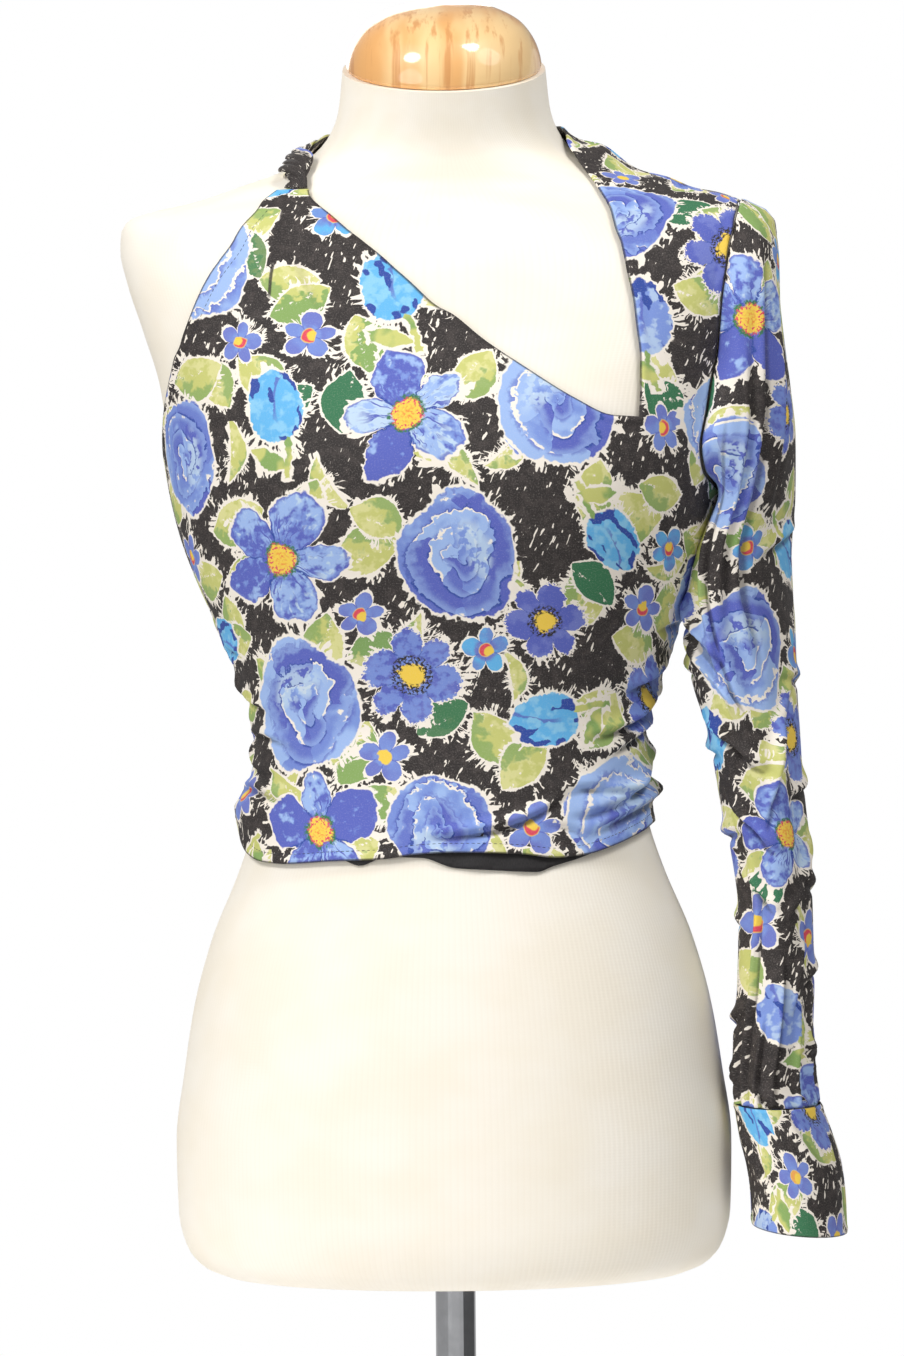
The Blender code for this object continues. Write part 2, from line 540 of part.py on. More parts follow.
def inside_outline(points, outline, margin, per_degree):
    """Which points lie inside an outline, at least a margin from its edge."""
    a = np.array(outline) * (per_degree, 1.0)
    b = np.roll(a, -1, axis=0)
    keep = []
    for p in points:
        q = np.array(p) * (per_degree, 1.0)
        crosses = (a[:, 1] > q[1]) != (b[:, 1] > q[1])
        rise = np.where(b[:, 1] == a[:, 1], 1.0, b[:, 1] - a[:, 1])
        at_x = a[:, 0] + (q[1] - a[:, 1]) * (b[:, 0] - a[:, 0]) / rise
        odd = np.count_nonzero(crosses & (at_x > q[0])) % 2 == 1
        span = b - a
        t = np.clip(((q - a) * span).sum(1) / np.maximum((span ** 2).sum(1), 1e-9), 0, 1)
        away = np.hypot(*(a + span * t[:, None] - q).T).min()
        if odd and away > margin:
            keep.append(tuple(p))
    return keep


def fill_points(outline):
    """Rows of points across a panel, closer together where the sides are gathered."""
    angles = [p[0] for p in outline]
    ups = [p[1] for p in outline]
    points = []
    up, row = min(ups) + FINE_ROW, 0
    while up < max(ups):
        in_gathers = up < GATHER_TOP
        shift = ACROSS_PITCH / 2 if row % 2 else 0.0
        for angle in np.arange(min(angles) + shift, max(angles), ACROSS_PITCH):
            off_seam = min(abs(turned(angle)), abs(turned(angle) - 180))
            if row % 2 == 0 or not in_gathers or off_seam < GATHER_REACH:
                points.append((float(angle), up))
        up += FINE_ROW if in_gathers else COARSE_ROW
        row += 1
    return inside_outline(points, outline, FINE_ROW * 0.55, PER_DEGREE)


def filled(outline, inner_points, per_degree):
    """Points and triangles that fill an outline of angles and lengths."""
    flat = [Vector((a * per_degree, u)) for a, u in list(outline) + inner_points]
    verts, _, faces, *_ = delaunay_2d_cdt(flat, [], [list(range(len(outline)))], 1, 1e-4)
    places = np.array([(v.x / per_degree, v.y) for v in verts])
    return places, [tuple(f) for f in faces]


def panel(name, outline, height, thickness, material):
    """A cloth panel cut to an outline of angles and levels and draped on the form."""
    places, faces = filled(outline, fill_points(outline), PER_DEGREE)
    angle, up = places.T
    outside = height(angle, up)
    outer, inner = off_form(angle, up, outside), off_form(angle, up, outside - thickness)
    return sheet_wall(name, outer, inner, faces, material)


# ================================================================ the pieces
def make_body(material):
    """The form's body and neck, with a socket for the pole in its underside."""
    angles = np.arange(FORM_SIDES) * 360.0 / FORM_SIDES
    grid = form_point(*np.meshgrid(angles, FORM_LEVELS))
    points = list(grid.reshape(-1, 3))
    faces = ring_faces(len(FORM_LEVELS), FORM_SIDES)
    top = len(points)
    points.append(grid[-1].mean(axis=0))
    last = top - FORM_SIDES
    faces += [(last + k, last + (k + 1) % FORM_SIDES, top) for k in range(FORM_SIDES)]
    radians = np.radians(angles)
    socket = top + 1
    radius = POLE_RADIUS + SEAM_GAP
    for height in (0.0, POLE_SOCKET + SEAM_GAP):
        points += [(radius * math.cos(t), -radius * math.sin(t), height) for t in radians]
    faces += [(k, (k + 1) % FORM_SIDES, socket + (k + 1) % FORM_SIDES, socket + k)
              for k in range(FORM_SIDES)]
    faces += [tuple(i + socket for i in f) for f in ring_faces(2, FORM_SIDES)]
    faces.append(tuple(range(socket + FORM_SIDES, socket + 2 * FORM_SIDES)))
    return add_object("dress_form_body", points, faces, material)


def make_cap(material):
    """The turned wooden cap that closes the neck, tilted as the neck is."""
    row = FORM_ROWS[-1]
    level = dict(zip(FORM_COLUMNS, row))
    middle = np.array([0.0, (level["front_y"] + level["back_y"]) / 2,
                       (level["front_z"] + level["back_z"]) / 2])
    slope = (level["back_z"] - level["front_z"]) / (level["back_y"] - level["front_y"])
    length = math.hypot(1.0, slope)
    back = np.array([0.0, 1.0, slope]) / length
    rise = np.array([0.0, -slope, 1.0]) / length
    turns = np.radians(np.arange(ROUND_STEPS) * 360.0 / ROUND_STEPS)
    points = []
    for across, height in CAP_ROWS:
        for t in turns:
            points.append(middle + np.array([CAP_HALF_WIDTH * across * math.cos(t), 0, 0])
                          - back * CAP_HALF_DEPTH * across * math.sin(t)
                          + rise * (height + SEAM_GAP * 2))
    faces = ring_faces(len(CAP_ROWS), ROUND_STEPS)
    faces.append(tuple(range(ROUND_STEPS)))
    top = len(points)
    points.append(middle + rise * (CAP_TOP + SEAM_GAP * 2))
    last = top - ROUND_STEPS
    faces += [(last + k, last + (k + 1) % ROUND_STEPS, top) for k in range(ROUND_STEPS)]
    return add_object("neck_cap", points, faces, material)


def make_turned(name, profile, material):
    """A solid turned about the pole's axis from (radius, height) pairs, bottom to top."""
    points = []
    for radius, height in profile:
        for k in range(ROUND_STEPS):
            t = 2 * math.pi * k / ROUND_STEPS
            points.append((radius * math.cos(t), -radius * math.sin(t), height))
    faces = ring_faces(len(profile), ROUND_STEPS)
    last = len(points) - ROUND_STEPS
    faces += [tuple(range(ROUND_STEPS)), tuple(range(last, last + ROUND_STEPS))]
    return add_object(name, points, faces, material)


def make_stand(metal):
    """The round base plate and the pole that carries the body."""
    ground = -BODY_LIFT
    plate = [(BASE_RADIUS, ground)]
    for step in range(5):
        t = math.radians(22.5 * step)
        plate.append((BASE_RADIUS - BASE_EDGE + BASE_EDGE * math.cos(t),
                      ground + BASE_HEIGHT - BASE_EDGE + BASE_EDGE * math.sin(t)))
    make_turned("stand_base", plate, metal)
    bottom = ground + BASE_HEIGHT + SEAM_GAP
    make_turned("stand_pole", [(POLE_RADIUS, bottom), (POLE_RADIUS, POLE_SOCKET)], metal)


def make_front(material):
    """The front, from the hem to the twist and, past the notch, to the shoulder seam."""
    turns = np.linspace(0, 180, ARMHOLE_STEPS)
    armhole = list(zip(ARMHOLE.read("angle", turns), ARMHOLE.read("up", turns)))
    seam = SEAM_ANGLE
    lines = (
        smooth_line(FRONT_HEM, EDGE_PITCH),
        smooth_line(((180, 262), (180, 487)), EDGE_PITCH),
        smooth_line(FRONT_BARE_EDGE[::-1], EDGE_PITCH),
        smooth_line((FRONT_BARE_EDGE[0], NOTCH_EDGE[-1]), EDGE_PITCH),
        smooth_line(NOTCH_EDGE[::-1], EDGE_PITCH),
        smooth_line(NECK_EDGE[::-1], EDGE_PITCH),
        smooth_line(((0, 768), (0, 649)), EDGE_PITCH),
        armhole,
        smooth_line(((0, 462), (0, 268)), EDGE_PITCH),
    )
    outline = [(min(max(a, seam), 180 - seam), u) for a, u in joined(*lines)]
    return panel("front", outline, body_ease, CLOTH, material)


def make_back(material):
    """The back, from the hem to the neckline, cut in round the bare arm."""
    turns = np.linspace(360, 180, ARMHOLE_STEPS)
    armhole = list(zip(ARMHOLE.read("angle", turns) + 360, ARMHOLE.read("up", turns)))
    seam = SEAM_ANGLE
    lines = (
        smooth_line(BACK_HEM[::-1], EDGE_PITCH),
        smooth_line(((180, 262), (180, 487)), EDGE_PITCH),
        smooth_line(BACK_BARE_EDGE, EDGE_PITCH),
        smooth_line((BACK_BARE_EDGE[-1], BACK_NECKLINE[0]), EDGE_PITCH),
        smooth_line(BACK_NECKLINE, EDGE_PITCH),
        smooth_line(((360, 768), (360, 649)), EDGE_PITCH),
        armhole,
        smooth_line(((360, 462), (360, 268)), EDGE_PITCH),
    )
    outline = [(min(max(a, 180 + seam), 360 - seam), u) for a, u in joined(*lines)]
    return panel("back", outline, body_ease, CLOTH, material)


def make_lining(material):
    """The strip of lining that hangs out below the front hem."""
    first, last = LINING_HEM[0][0], LINING_HEM[-1][0]
    lines = (
        smooth_line(LINING_HEM, EDGE_PITCH),
        smooth_line((LINING_HEM[-1], (last, LINING_TOP_UP)), EDGE_PITCH),
        smooth_line(((last, LINING_TOP_UP), (first, LINING_TOP_UP)), EDGE_PITCH),
        smooth_line(((first, LINING_TOP_UP), LINING_HEM[0]), EDGE_PITCH),
    )

    def height(angle, up):
        return np.full(np.shape(angle), LINING_EASE)

    return panel("front_lining", joined(*lines), height, LINING, material)


def make_sleeve(material):
    """The sleeve, joined along the underarm, from the armhole to the seam of the cuff."""
    turns = np.linspace(0, 180, ARMHOLE_STEPS)
    _, front_turn, front_down = armhole_seat(turns)
    _, back_turn, back_down = armhole_seat(360 - turns)
    back_turn = back_turn - back_turn[-1] + front_turn[-1] - 360
    under, top, end = front_turn[-1], front_down[-1], SLEEVE_ROWS[-1][0]
    rows = np.linspace(top, end, int((end - top) / SLEEVE_ROW_LOW) + 1)
    across = np.linspace(under - 360, under, int(360 / SLEEVE_TURN_PITCH) + 1)
    outline = joined([(under, d) for d in rows[::-1]],
                     list(zip(front_turn, front_down))[::-1],
                     list(zip(back_turn, back_down)),
                     [(under - 360, d) for d in rows],
                     [(t, end) for t in across])
    inner_points, down, row = [], SLEEVE_ROW_HIGH / 2, 0
    while down < end:
        shift = SLEEVE_TURN_PITCH / 2 if row % 2 else 0.0
        inner_points += [(t + shift, down) for t in across]
        down += SLEEVE_ROW_HIGH if down < SLEEVE_LOW_FROM else SLEEVE_ROW_LOW
        row += 1
    inner_points = inside_outline(inner_points, outline, SLEEVE_ROW_HIGH * 0.35, PER_TURN)
    places, faces = filled(outline, inner_points, PER_TURN)
    turn, down = places.T
    left = {round(d, 2): i for i, (t, d) in enumerate(places) if abs(t - under) < 0.01}
    merged = np.arange(len(places))
    for i, (t, d) in enumerate(places):
        if abs(t - under + 360) < 0.01:
            merged[i] = left[round(d, 2)]
    kept, index = np.unique(merged, return_inverse=True)
    faces = [tuple(int(index[i]) for i in face) for face in faces]
    outside = sleeve_surface(turn[kept], down[kept])
    normals = surface_normals(outside, faces)
    outwards = np.sign((normals[:, 0] * np.cos(np.radians(turn[kept]))).sum())
    inside = outside - normals * outwards * CLOTH
    return sheet_wall("sleeve", outside, inside, faces, material)


def make_cuff(material):
    """The cuff, a band whose outer end laps over its inner end."""
    sweep = 360.0 + CUFF_OVERLAP
    turns = CUFF_END_TURN - np.linspace(0, sweep, CUFF_SIDES)
    downs = np.linspace(0, CUFF_ROWS[-1][0], CUFF_RINGS)
    turn, down = np.meshgrid(turns, downs)
    points = arm_ring(CUFF, turn, down)
    share = np.clip((sweep - (CUFF_END_TURN - turn)) / CUFF_OVERLAP - 1, 0, 1)
    under = (1 - share) ** 2 * (3 - 2 * (1 - share)) * (CLOTH + CUFF_LAP_GAP)
    normal = np.cross(np.gradient(points, axis=0), -np.gradient(points, axis=1))
    normal /= np.linalg.norm(normal, axis=-1, keepdims=True)
    outside = moved_clear(points, ARM_CLEARANCE) - normal * under[..., None]
    inside = outside - normal * CLOTH
    faces = ring_faces(CUFF_RINGS, CUFF_SIDES, closed=False)
    return sheet_wall("cuff", outside.reshape(-1, 3), inside.reshape(-1, 3), faces, material)


def make_twist(material):
    """The strap where front and back are twisted together over the bare shoulder."""
    length = TWIST_ROWS[-1][0]
    rings = np.linspace(0, length, TWIST_RINGS)
    angle, up = TWIST.read("angle", rings), TWIST.read("up", rings)
    half_width, half_thick = TWIST.read("half_width", rings), TWIST.read("half_thick", rings)
    normal = outward(form_point, angle, up, 0.3, 0.5)
    lift = TWIST_CLEARANCE + half_thick * (1 + TWIST_LOBE)
    centre = off_form(angle, up, lift)
    tangent = np.gradient(centre, axis=0)
    tangent /= np.linalg.norm(tangent, axis=1, keepdims=True)
    across = np.cross(tangent, normal)
    across /= np.linalg.norm(across, axis=1, keepdims=True)
    points = []
    for i, along in enumerate(rings):
        roll = 2 * math.pi * TWIST_TURNS * along / length
        for k in range(TWIST_SIDES):
            t = 2 * math.pi * k / TWIST_SIDES
            lobe = 1 + TWIST_LOBE * math.cos(2 * (t - roll)) * min(1, 4 * half_thick[i] / 10)
            points.append(centre[i] + across[i] * half_width[i] * lobe * math.cos(t)
                          + normal[i] * half_thick[i] * lobe * math.sin(t))
    faces = ring_faces(TWIST_RINGS, TWIST_SIDES)
    last = len(points) - TWIST_SIDES
    faces += [tuple(range(TWIST_SIDES)), tuple(range(last, last + TWIST_SIDES))]
    return add_object("shoulder_twist", points, faces, material)


def make_material(name, colour, roughness, metallic=0.0):
    """A plain material with a colour, a roughness and a metallic value."""
    material = bpy.data.materials.new(name)
    material.use_nodes = True
    shader = material.node_tree.nodes["Principled BSDF"]
    shader.inputs["Base Color"].default_value = (*colour, 1.0)
    shader.inputs["Roughness"].default_value = roughness
    shader.inputs["Metallic"].default_value = metallic
    material.diffuse_color = (*colour, 1.0)
    return material


def main():
    for ob in list(bpy.data.objects):
        bpy.data.objects.remove(ob, do_unlink=True)
    jersey = make_material("cream jersey", (0.93, 0.86, 0.75), 0.9)
    wood = make_material("lacquered pine", (0.8, 0.5, 0.24), 0.3)
    metal = make_material("chromed steel", (0.75, 0.75, 0.77), 0.15, 1.0)
    print_cloth = make_material("printed crepe", (0.12, 0.15, 0.38), 0.8)
    black_cloth = make_material("black lining", (0.012, 0.011, 0.011), 0.7)
    make_body(jersey)
    make_cap(wood)
    make_stand(metal)
    make_front(print_cloth)
    make_back(print_cloth)
    make_lining(black_cloth)
    make_sleeve(print_cloth)
    make_cuff(print_cloth)
    make_twist(print_cloth)


main()
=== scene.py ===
"""The looks of a cropped blouse with one long sleeve on its limbless dress form.

Every piece but the chromed stand is rebuilt finer than its solid, on the same tables of
sizes: the front, back, sleeve, cuff, shoulder twist and lining as thin cloth, the body of the
form as knitted jersey and its cap as lacquered pine.  The tables are in millimetres, and their
levels are above the underside of the form's body.  The scene is in metres with +Z up, and the
front faces -Y.
"""

import math

import bpy
import numpy as np
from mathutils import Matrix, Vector
from mathutils.geometry import delaunay_2d_cdt
from mathutils.kdtree import KDTree


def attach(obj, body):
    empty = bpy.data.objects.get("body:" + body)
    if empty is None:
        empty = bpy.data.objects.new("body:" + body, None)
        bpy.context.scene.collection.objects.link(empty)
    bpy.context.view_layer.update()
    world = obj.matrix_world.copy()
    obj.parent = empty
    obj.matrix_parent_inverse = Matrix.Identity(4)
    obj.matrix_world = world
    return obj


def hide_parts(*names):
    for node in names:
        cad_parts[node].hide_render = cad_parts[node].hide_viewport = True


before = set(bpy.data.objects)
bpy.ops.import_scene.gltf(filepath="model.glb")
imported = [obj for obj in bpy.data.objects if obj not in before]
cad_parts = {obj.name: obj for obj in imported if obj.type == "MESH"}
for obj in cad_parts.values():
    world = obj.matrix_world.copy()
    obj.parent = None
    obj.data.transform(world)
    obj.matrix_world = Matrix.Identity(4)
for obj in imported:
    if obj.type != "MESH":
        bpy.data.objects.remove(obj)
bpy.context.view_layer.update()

MM = 0.001

# ---------------------------------------------------------------- stand
BODY_LIFT = 212.0          # underside of the body above the ground
POLE_RADIUS = 12.0
POLE_SOCKET = 60.0         # how far the pole reaches up into the body
SEAM_GAP = 0.3

# ---------------------------------------------------------------- dress form
# One row for each level of the body.  `up` is a tape laid up the side of the body, over
# the shoulder tip and along the shoulder to the neck.  The side point of a level lies at
# (side_x, side_y, side_z), its front point at (0, front_y, front_z), its back point at
# (0, back_y, back_z), and `square` is how boxy the curve between them is.
FORM_COLUMNS = ("up", "side_x", "side_y", "side_z", "front_y", "front_z",
                "back_y", "back_z", "square")
FORM_ROWS = (
    (0,   140.0,   5.0,   0.0,  -88.0,   0.0, 101.0,   0.0, 0.96),
    (6,   151.5,   5.0,   5.0,  -98.0,   5.0, 112.0,   5.0, 0.96),
    (18,  161.0,   5.0,  17.0, -106.0,  17.0, 120.0,  17.0, 0.96),
    (36,  165.5,   5.0,  36.0, -111.0,  36.0, 125.0,  36.0, 0.96),
    (80,  166.5,   5.0,  80.0, -114.0,  80.0, 129.0,  80.0, 0.96),
    (120, 161.5,   5.0, 120.0, -113.0, 120.0, 128.0, 120.0, 0.96),
    (160, 155.0,   4.0, 160.0, -109.0, 160.0, 122.0, 160.0, 0.96),
    (200, 144.0,   3.0, 200.0, -103.0, 200.0, 112.0, 200.0, 0.96),
    (240, 127.5,   1.0, 240.0,  -95.0, 240.0,  99.0, 240.0, 0.96),
    (262, 120.0,   0.5, 262.0,  -91.0, 262.0,  92.5, 262.0, 0.96),
    (282, 115.0,   0.0, 282.0,  -88.5, 282.0,  88.0, 282.0, 0.96),
    (300, 112.8,  -0.5, 300.0,  -87.0, 300.0,  85.0, 300.0, 0.96),
    (322, 112.3,  -1.0, 322.0,  -86.5, 322.0,  83.5, 322.0, 0.96),
    (342, 115.0,  -1.5, 342.0,  -88.5, 342.0,  83.5, 342.0, 0.95),
    (360, 121.5,  -2.0, 360.0,  -92.0, 360.0,  85.0, 360.0, 0.94),
    (378, 129.0,  -2.0, 378.0,  -96.5, 378.0,  87.5, 378.0, 0.94),
    (412, 145.0,  -2.0, 412.0, -106.0, 412.0,  94.0, 412.0, 0.93),
    (445, 157.0,  -1.0, 445.0, -113.5, 445.0,  99.5, 445.0, 0.91),
    (474, 163.5,   0.0, 474.0, -116.5, 474.0, 103.5, 474.0, 0.89),
    (502, 167.5,   2.0, 502.0, -113.5, 499.0, 107.5, 501.0, 0.86),
    (532, 172.0,   4.0, 532.0, -107.0, 525.0, 110.0, 529.0, 0.83),
    (565, 182.0,   6.0, 565.0,  -98.0, 550.0, 111.0, 558.0, 0.81),
    (595, 191.5,   7.0, 595.0,  -90.0, 573.0, 109.0, 585.0, 0.80),
    (613, 195.3,   8.0, 613.0,  -84.0, 589.0, 105.5, 604.0, 0.80),
    (624, 194.8,   8.0, 624.0,  -79.0, 602.0, 101.0, 618.0, 0.81),
    (634, 189.5,   8.0, 632.2,  -75.0, 612.0,  96.5, 630.0, 0.82),
    (647, 177.0,   7.5, 636.5,  -70.5, 624.0,  89.5, 643.0, 0.84),
    (675, 150.0,   6.0, 642.5,  -66.5, 637.0,  81.5, 658.0, 0.88),
    (703, 123.5,   3.0, 651.0,  -64.0, 648.0,  74.0, 670.5, 0.92),
    (732,  96.0,   0.0, 660.5,  -64.0, 659.0,  67.5, 682.5, 0.96),
    (752,  78.5,  -3.0, 669.5,  -65.0, 667.0,  62.5, 692.5, 1.0),
    (766,  69.0,  -6.0, 680.0,  -67.0, 675.0,  58.5, 702.5, 1.0),
    (780,  63.5,  -9.5, 693.5,  -70.0, 684.0,  53.5, 715.0, 1.0),
    (806,  60.5, -13.5, 718.5,  -74.0, 696.0,  46.5, 740.5, 1.0),
)

BUST_ACROSS = 80.0         # each side of the centre
BUST_UP = 468.0
BUST_PROUD = 9.0
BUST_SPREAD = 46.0

CAP_HALF_WIDTH = 58.2
CAP_HALF_DEPTH = 61.0
CAP_COLUMNS = ("across", "rise")       # share of the half width, height above the neck
CAP_ROWS = ((0.985, 0.0), (1.0, 2.5), (0.99, 6.5), (0.965, 11.5), (0.93, 16.2),
            (0.878, 21.0), (0.81, 25.6), (0.68, 30.6), (0.5, 34.8), (0.26, 37.2),
            (0.012, 38.0))

# ---------------------------------------------------------------- cloth
CLOTH = 1.2                # wall of every outer piece
EASE_LOW = 4.2             # outside of the cloth above the form, below the armholes
EASE_HIGH = 3.0            # and at the shoulders
EASE_TURN_UP = 600.0
EASE_TURN_SPREAD = 35.0
LINING_EASE = 2.4
PER_DEGREE = 2.0           # millimetres of cloth for a degree round the body
SEAM_ANGLE = 0.12          # half the gap of a side or shoulder seam, in degrees

# Places where the cloth stands off the form: its middle, how far it spreads, how much.
SWELL_COLUMNS = ("angle", "up", "angle_spread", "up_spread", "height")
SWELL_ROWS = (
    (180, 276, 24, 14, 9.0),      # the hem kicks out at the side without a sleeve
    (0, 738, 30, 20, 8.5),        # the shoulder seam stands up beside the neck
    (2, 694, 24, 15, 3.4),        # along the shoulder
    (4, 664, 22, 16, 2.6),        # and again before the sleeve
)

# Gathers that run in from the side seams: where each starts on the seam, where it fades
# out, its height at the seam and its half width.
GATHER_COLUMNS = ("angle", "up", "end_angle", "end_up", "height", "half_width")
GATHER_ROWS = (
    (0, 384, 26, 372, 1.6, 6.0),
    (0, 366, 40, 352, 2.4, 6.5),
    (0, 348, 46, 324, 3.6, 6.5),
    (0, 328, 40, 306, 2.4, 6.0),
    (0, 308, 50, 284, 3.4, 6.5),
    (0, 286, 58, 270, 4.4, 7.0),
    (0, 376, -24, 366, 1.8, 6.0),
    (0, 354, -38, 338, 3.0, 6.5),
    (0, 334, -44, 316, 2.6, 6.5),
    (0, 312, -36, 300, 3.2, 6.5),
    (0, 288, -50, 276, 4.0, 7.0),
    (180, 390, 160, 378, 1.6, 6.0),
    (180, 372, 150, 358, 2.2, 6.0),
    (180, 353, 140, 342, 3.6, 5.5),
    (180, 330, 152, 322, 1.8, 6.0),
    (180, 310, 146, 300, 2.2, 6.5),
    (180, 380, 202, 368, 1.8, 6.0),
    (180, 358, 216, 342, 3.2, 6.0),
    (180, 336, 210, 324, 2.0, 6.0),
    (180, 314, 214, 302, 2.4, 6.5),
    (180, 292, 220, 284, 2.6, 7.0),
)

FRONT_HEM = ((0, 268), (12, 266.5), (23, 263), (32, 259.5), (42, 255), (52, 251), (62, 249.5),
             (72, 252), (80, 253), (90, 253.5), (99, 252.5), (107, 250), (122, 248.5),
             (140, 246.3), (150, 247), (160, 250.5), (170, 256), (180, 262))
BACK_HEM = ((180, 262), (192, 258), (206, 254), (225, 251), (250, 250), (275, 250),
            (300, 252), (325, 257), (345, 264), (360, 268))
SHOULDER_UP = 649          # the armhole's highest and lowest level, on the seams
UNDERARM_UP = 462
# The armhole of the sleeve, by the turn round it: 0 at the shoulder, 90 in front, 180
# under the arm and 270 behind.
ARMHOLE_COLUMNS = ("turn", "angle", "up")
ARMHOLE_ROWS = (
    (-15, -9.0, 646), (0, 0.0, 649), (15, 13.0, 646), (30, 25.0, 638), (45, 33.5, 626),
    (60, 37.0, 609), (75, 36.5, 589), (90, 33.8, 565), (105, 31.0, 540), (120, 31.0, 516),
    (135, 32.0, 493), (150, 28.5, 475), (165, 15.0, 465), (180, 0.0, 462),
    (195, -10.0, 464), (210, -19.0, 472), (225, -23.0, 492), (240, -24.0, 516),
    (255, -24.5, 540), (270, -25.5, 565), (285, -26.0, 589), (300, -25.5, 609),
    (315, -23.0, 626), (330, -17.5, 638), (345, -9.0, 646), (360, 0.0, 649),
    (375, 13.0, 646))
# The neckline, from the neck down the steep side, round the notch and up to the twist.
NECK_EDGE = ((0, 768), (20, 758), (38, 731), (52, 690), (60.5, 650), (63.4, 630),
             (62.9, 613), (61, 594), (57.8, 565), (55.5, 547), (53.7, 523), (53.0, 506.5))
NOTCH_EDGE = ((53.0, 506.5), (59.8, 507.3), (68.1, 517.2), (77.9, 537.6), (86.0, 563.3),
              (90.6, 589.4), (94.2, 610.6), (100.2, 628.8), (108.3, 647.3),
              (116.5, 668.5), (121.5, 684))
# The bare arm's edge of the front, from the twist to the side seam.
FRONT_BARE_EDGE = (
    (131.5, 684), (128.6, 667), (124.5, 642), (124.6, 627.7), (127.5, 614.5),
    (130.5, 604.7), (133.9, 592), (138.6, 576.4), (144.6, 559.1), (152.4, 541.5),
    (160, 524), (167, 508), (174, 495), (180, 487))
BACK_BARE_EDGE = (
    (180, 487), (188, 498), (194, 510.5), (200, 524.5), (207, 541.5), (213.9, 558),
    (219, 573), (223.5, 587.5), (227.4, 602), (230.4, 614), (232.2, 625.5), (232.6, 638),
    (231.5, 652), (229, 671), (225.5, 690), (221.5, 710), (218, 728), (215.5, 741))
BACK_NECKLINE = (
    (215, 760), (222, 757), (234, 753.5), (250, 749.5), (270, 747.5), (290, 750), (310, 756),
    (330, 763), (346, 767), (360, 768))
LINING_HEM = ((24, 264), (40, 257), (56, 248.5), (63.3, 245), (68, 242), (78.5, 243.3),
              (89, 245), (97.3, 251), (107, 251.5), (114, 246.5), (121, 250.5), (132, 250))
LINING_TOP_UP = 296.0
LINING_WALL = 0.7
LINING_CLOSER = 0.4        # how much closer to the form than its solid it is seen
LINING_WAVE = 0.35         # its waves: their height, their pace round the body in radians
LINING_WAVE_PACE = 0.55    # for a degree, and how far below its top they are full
LINING_WAVE_RISE = 40.0

# ---------------------------------------------------------------- sleeve and cuff
# Level sections down the sleeve and the cuff.  `down` is the tape along the outside of the
# arm, `outer` and `inner` are the ends of the section seen from the front, `mid_y` and
# `half_depth` its middle and its half depth, and `lean` brings its front in over the body.
RING_COLUMNS = ("down", "outer_x", "outer_z", "inner_x", "inner_z", "mid_y", "half_depth",
                "lean")
SLEEVE_ROWS = (
    (0,   178.0, 640.0, 160.0, 640.0,  -2.0, 20.0,  0.0),
    (10,  187.5, 637.0, 154.0, 637.0,  -2.0, 32.0,  0.0),
    (20,  194.5, 630.0, 150.0, 630.0,  -3.0, 43.0,  0.0),
    (32,  198.5, 619.0, 149.0, 619.0,  -4.0, 51.0,  0.0),
    (50,  199.5, 601.0, 149.0, 601.0,  -5.0, 57.0,  0.0),
    (70,  199.5, 581.0, 149.0, 581.0,  -6.0, 60.0,  0.0),
    (95,  202.0, 556.0, 150.0, 556.0,  -7.0, 61.0,  2.0),
    (125, 206.0, 527.0, 151.0, 527.0,  -8.0, 62.0,  5.0),
    (155, 209.5, 497.0, 152.0, 497.0,  -8.0, 62.0,  9.0),
    (190, 210.0, 462.0, 150.0, 462.0,  -8.0, 60.0, 15.0),
    (207, 209.0, 445.0, 146.5, 445.0,  -8.0, 58.0, 18.0),
    (225, 208.0, 427.0, 143.0, 427.0,  -8.0, 56.0, 20.0),
    (250, 208.5, 402.0, 140.5, 402.0,  -8.5, 53.5, 20.0),
    (265, 209.0, 387.0, 140.5, 387.0,  -9.0, 52.0, 18.0),
    (290, 209.0, 362.0, 141.5, 362.0,  -9.5, 50.0, 14.0),
    (305, 209.0, 347.0, 145.0, 347.0, -10.0, 48.5, 12.0),
    (330, 210.0, 322.0, 153.0, 322.0, -10.5, 46.0,  9.0),
    (355, 211.0, 297.0, 157.5, 297.0, -11.0, 44.0,  7.0),
    (380, 213.0, 273.0, 161.5, 273.0, -11.5, 42.5,  6.0),
    (400, 215.0, 253.0, 166.0, 253.0, -12.0, 41.0,  5.0),
    (440, 216.0, 213.0, 170.5, 213.0, -12.5, 39.0,  5.0),
    (480, 216.5, 173.0, 169.5, 173.5, -13.0, 38.0,  5.0),
    (515, 215.5, 138.0, 166.5, 139.0, -13.5, 37.0,  6.0),
    (535, 215.5, 118.0, 166.0, 120.0, -14.0, 37.0,  8.0),
    (554, 218.5,  98.8, 167.0, 102.0, -14.0, 39.0,  9.0),
)
CUFF_ROWS = (
    (0,  219.0, 98.0, 167.5, 101.2, -14.0, 39.5, 9.0),
    (20, 226.0, 79.0, 170.5,  82.0, -14.0, 40.5, 8.0),
    (38, 231.0, 61.0, 175.0,  63.0, -14.0, 41.0, 7.0),
    (58, 233.0, 41.0, 177.5,  45.0, -14.0, 41.0, 6.0),
    (77, 233.5, 22.0, 178.0,  29.0, -14.0, 41.0, 6.0),
)
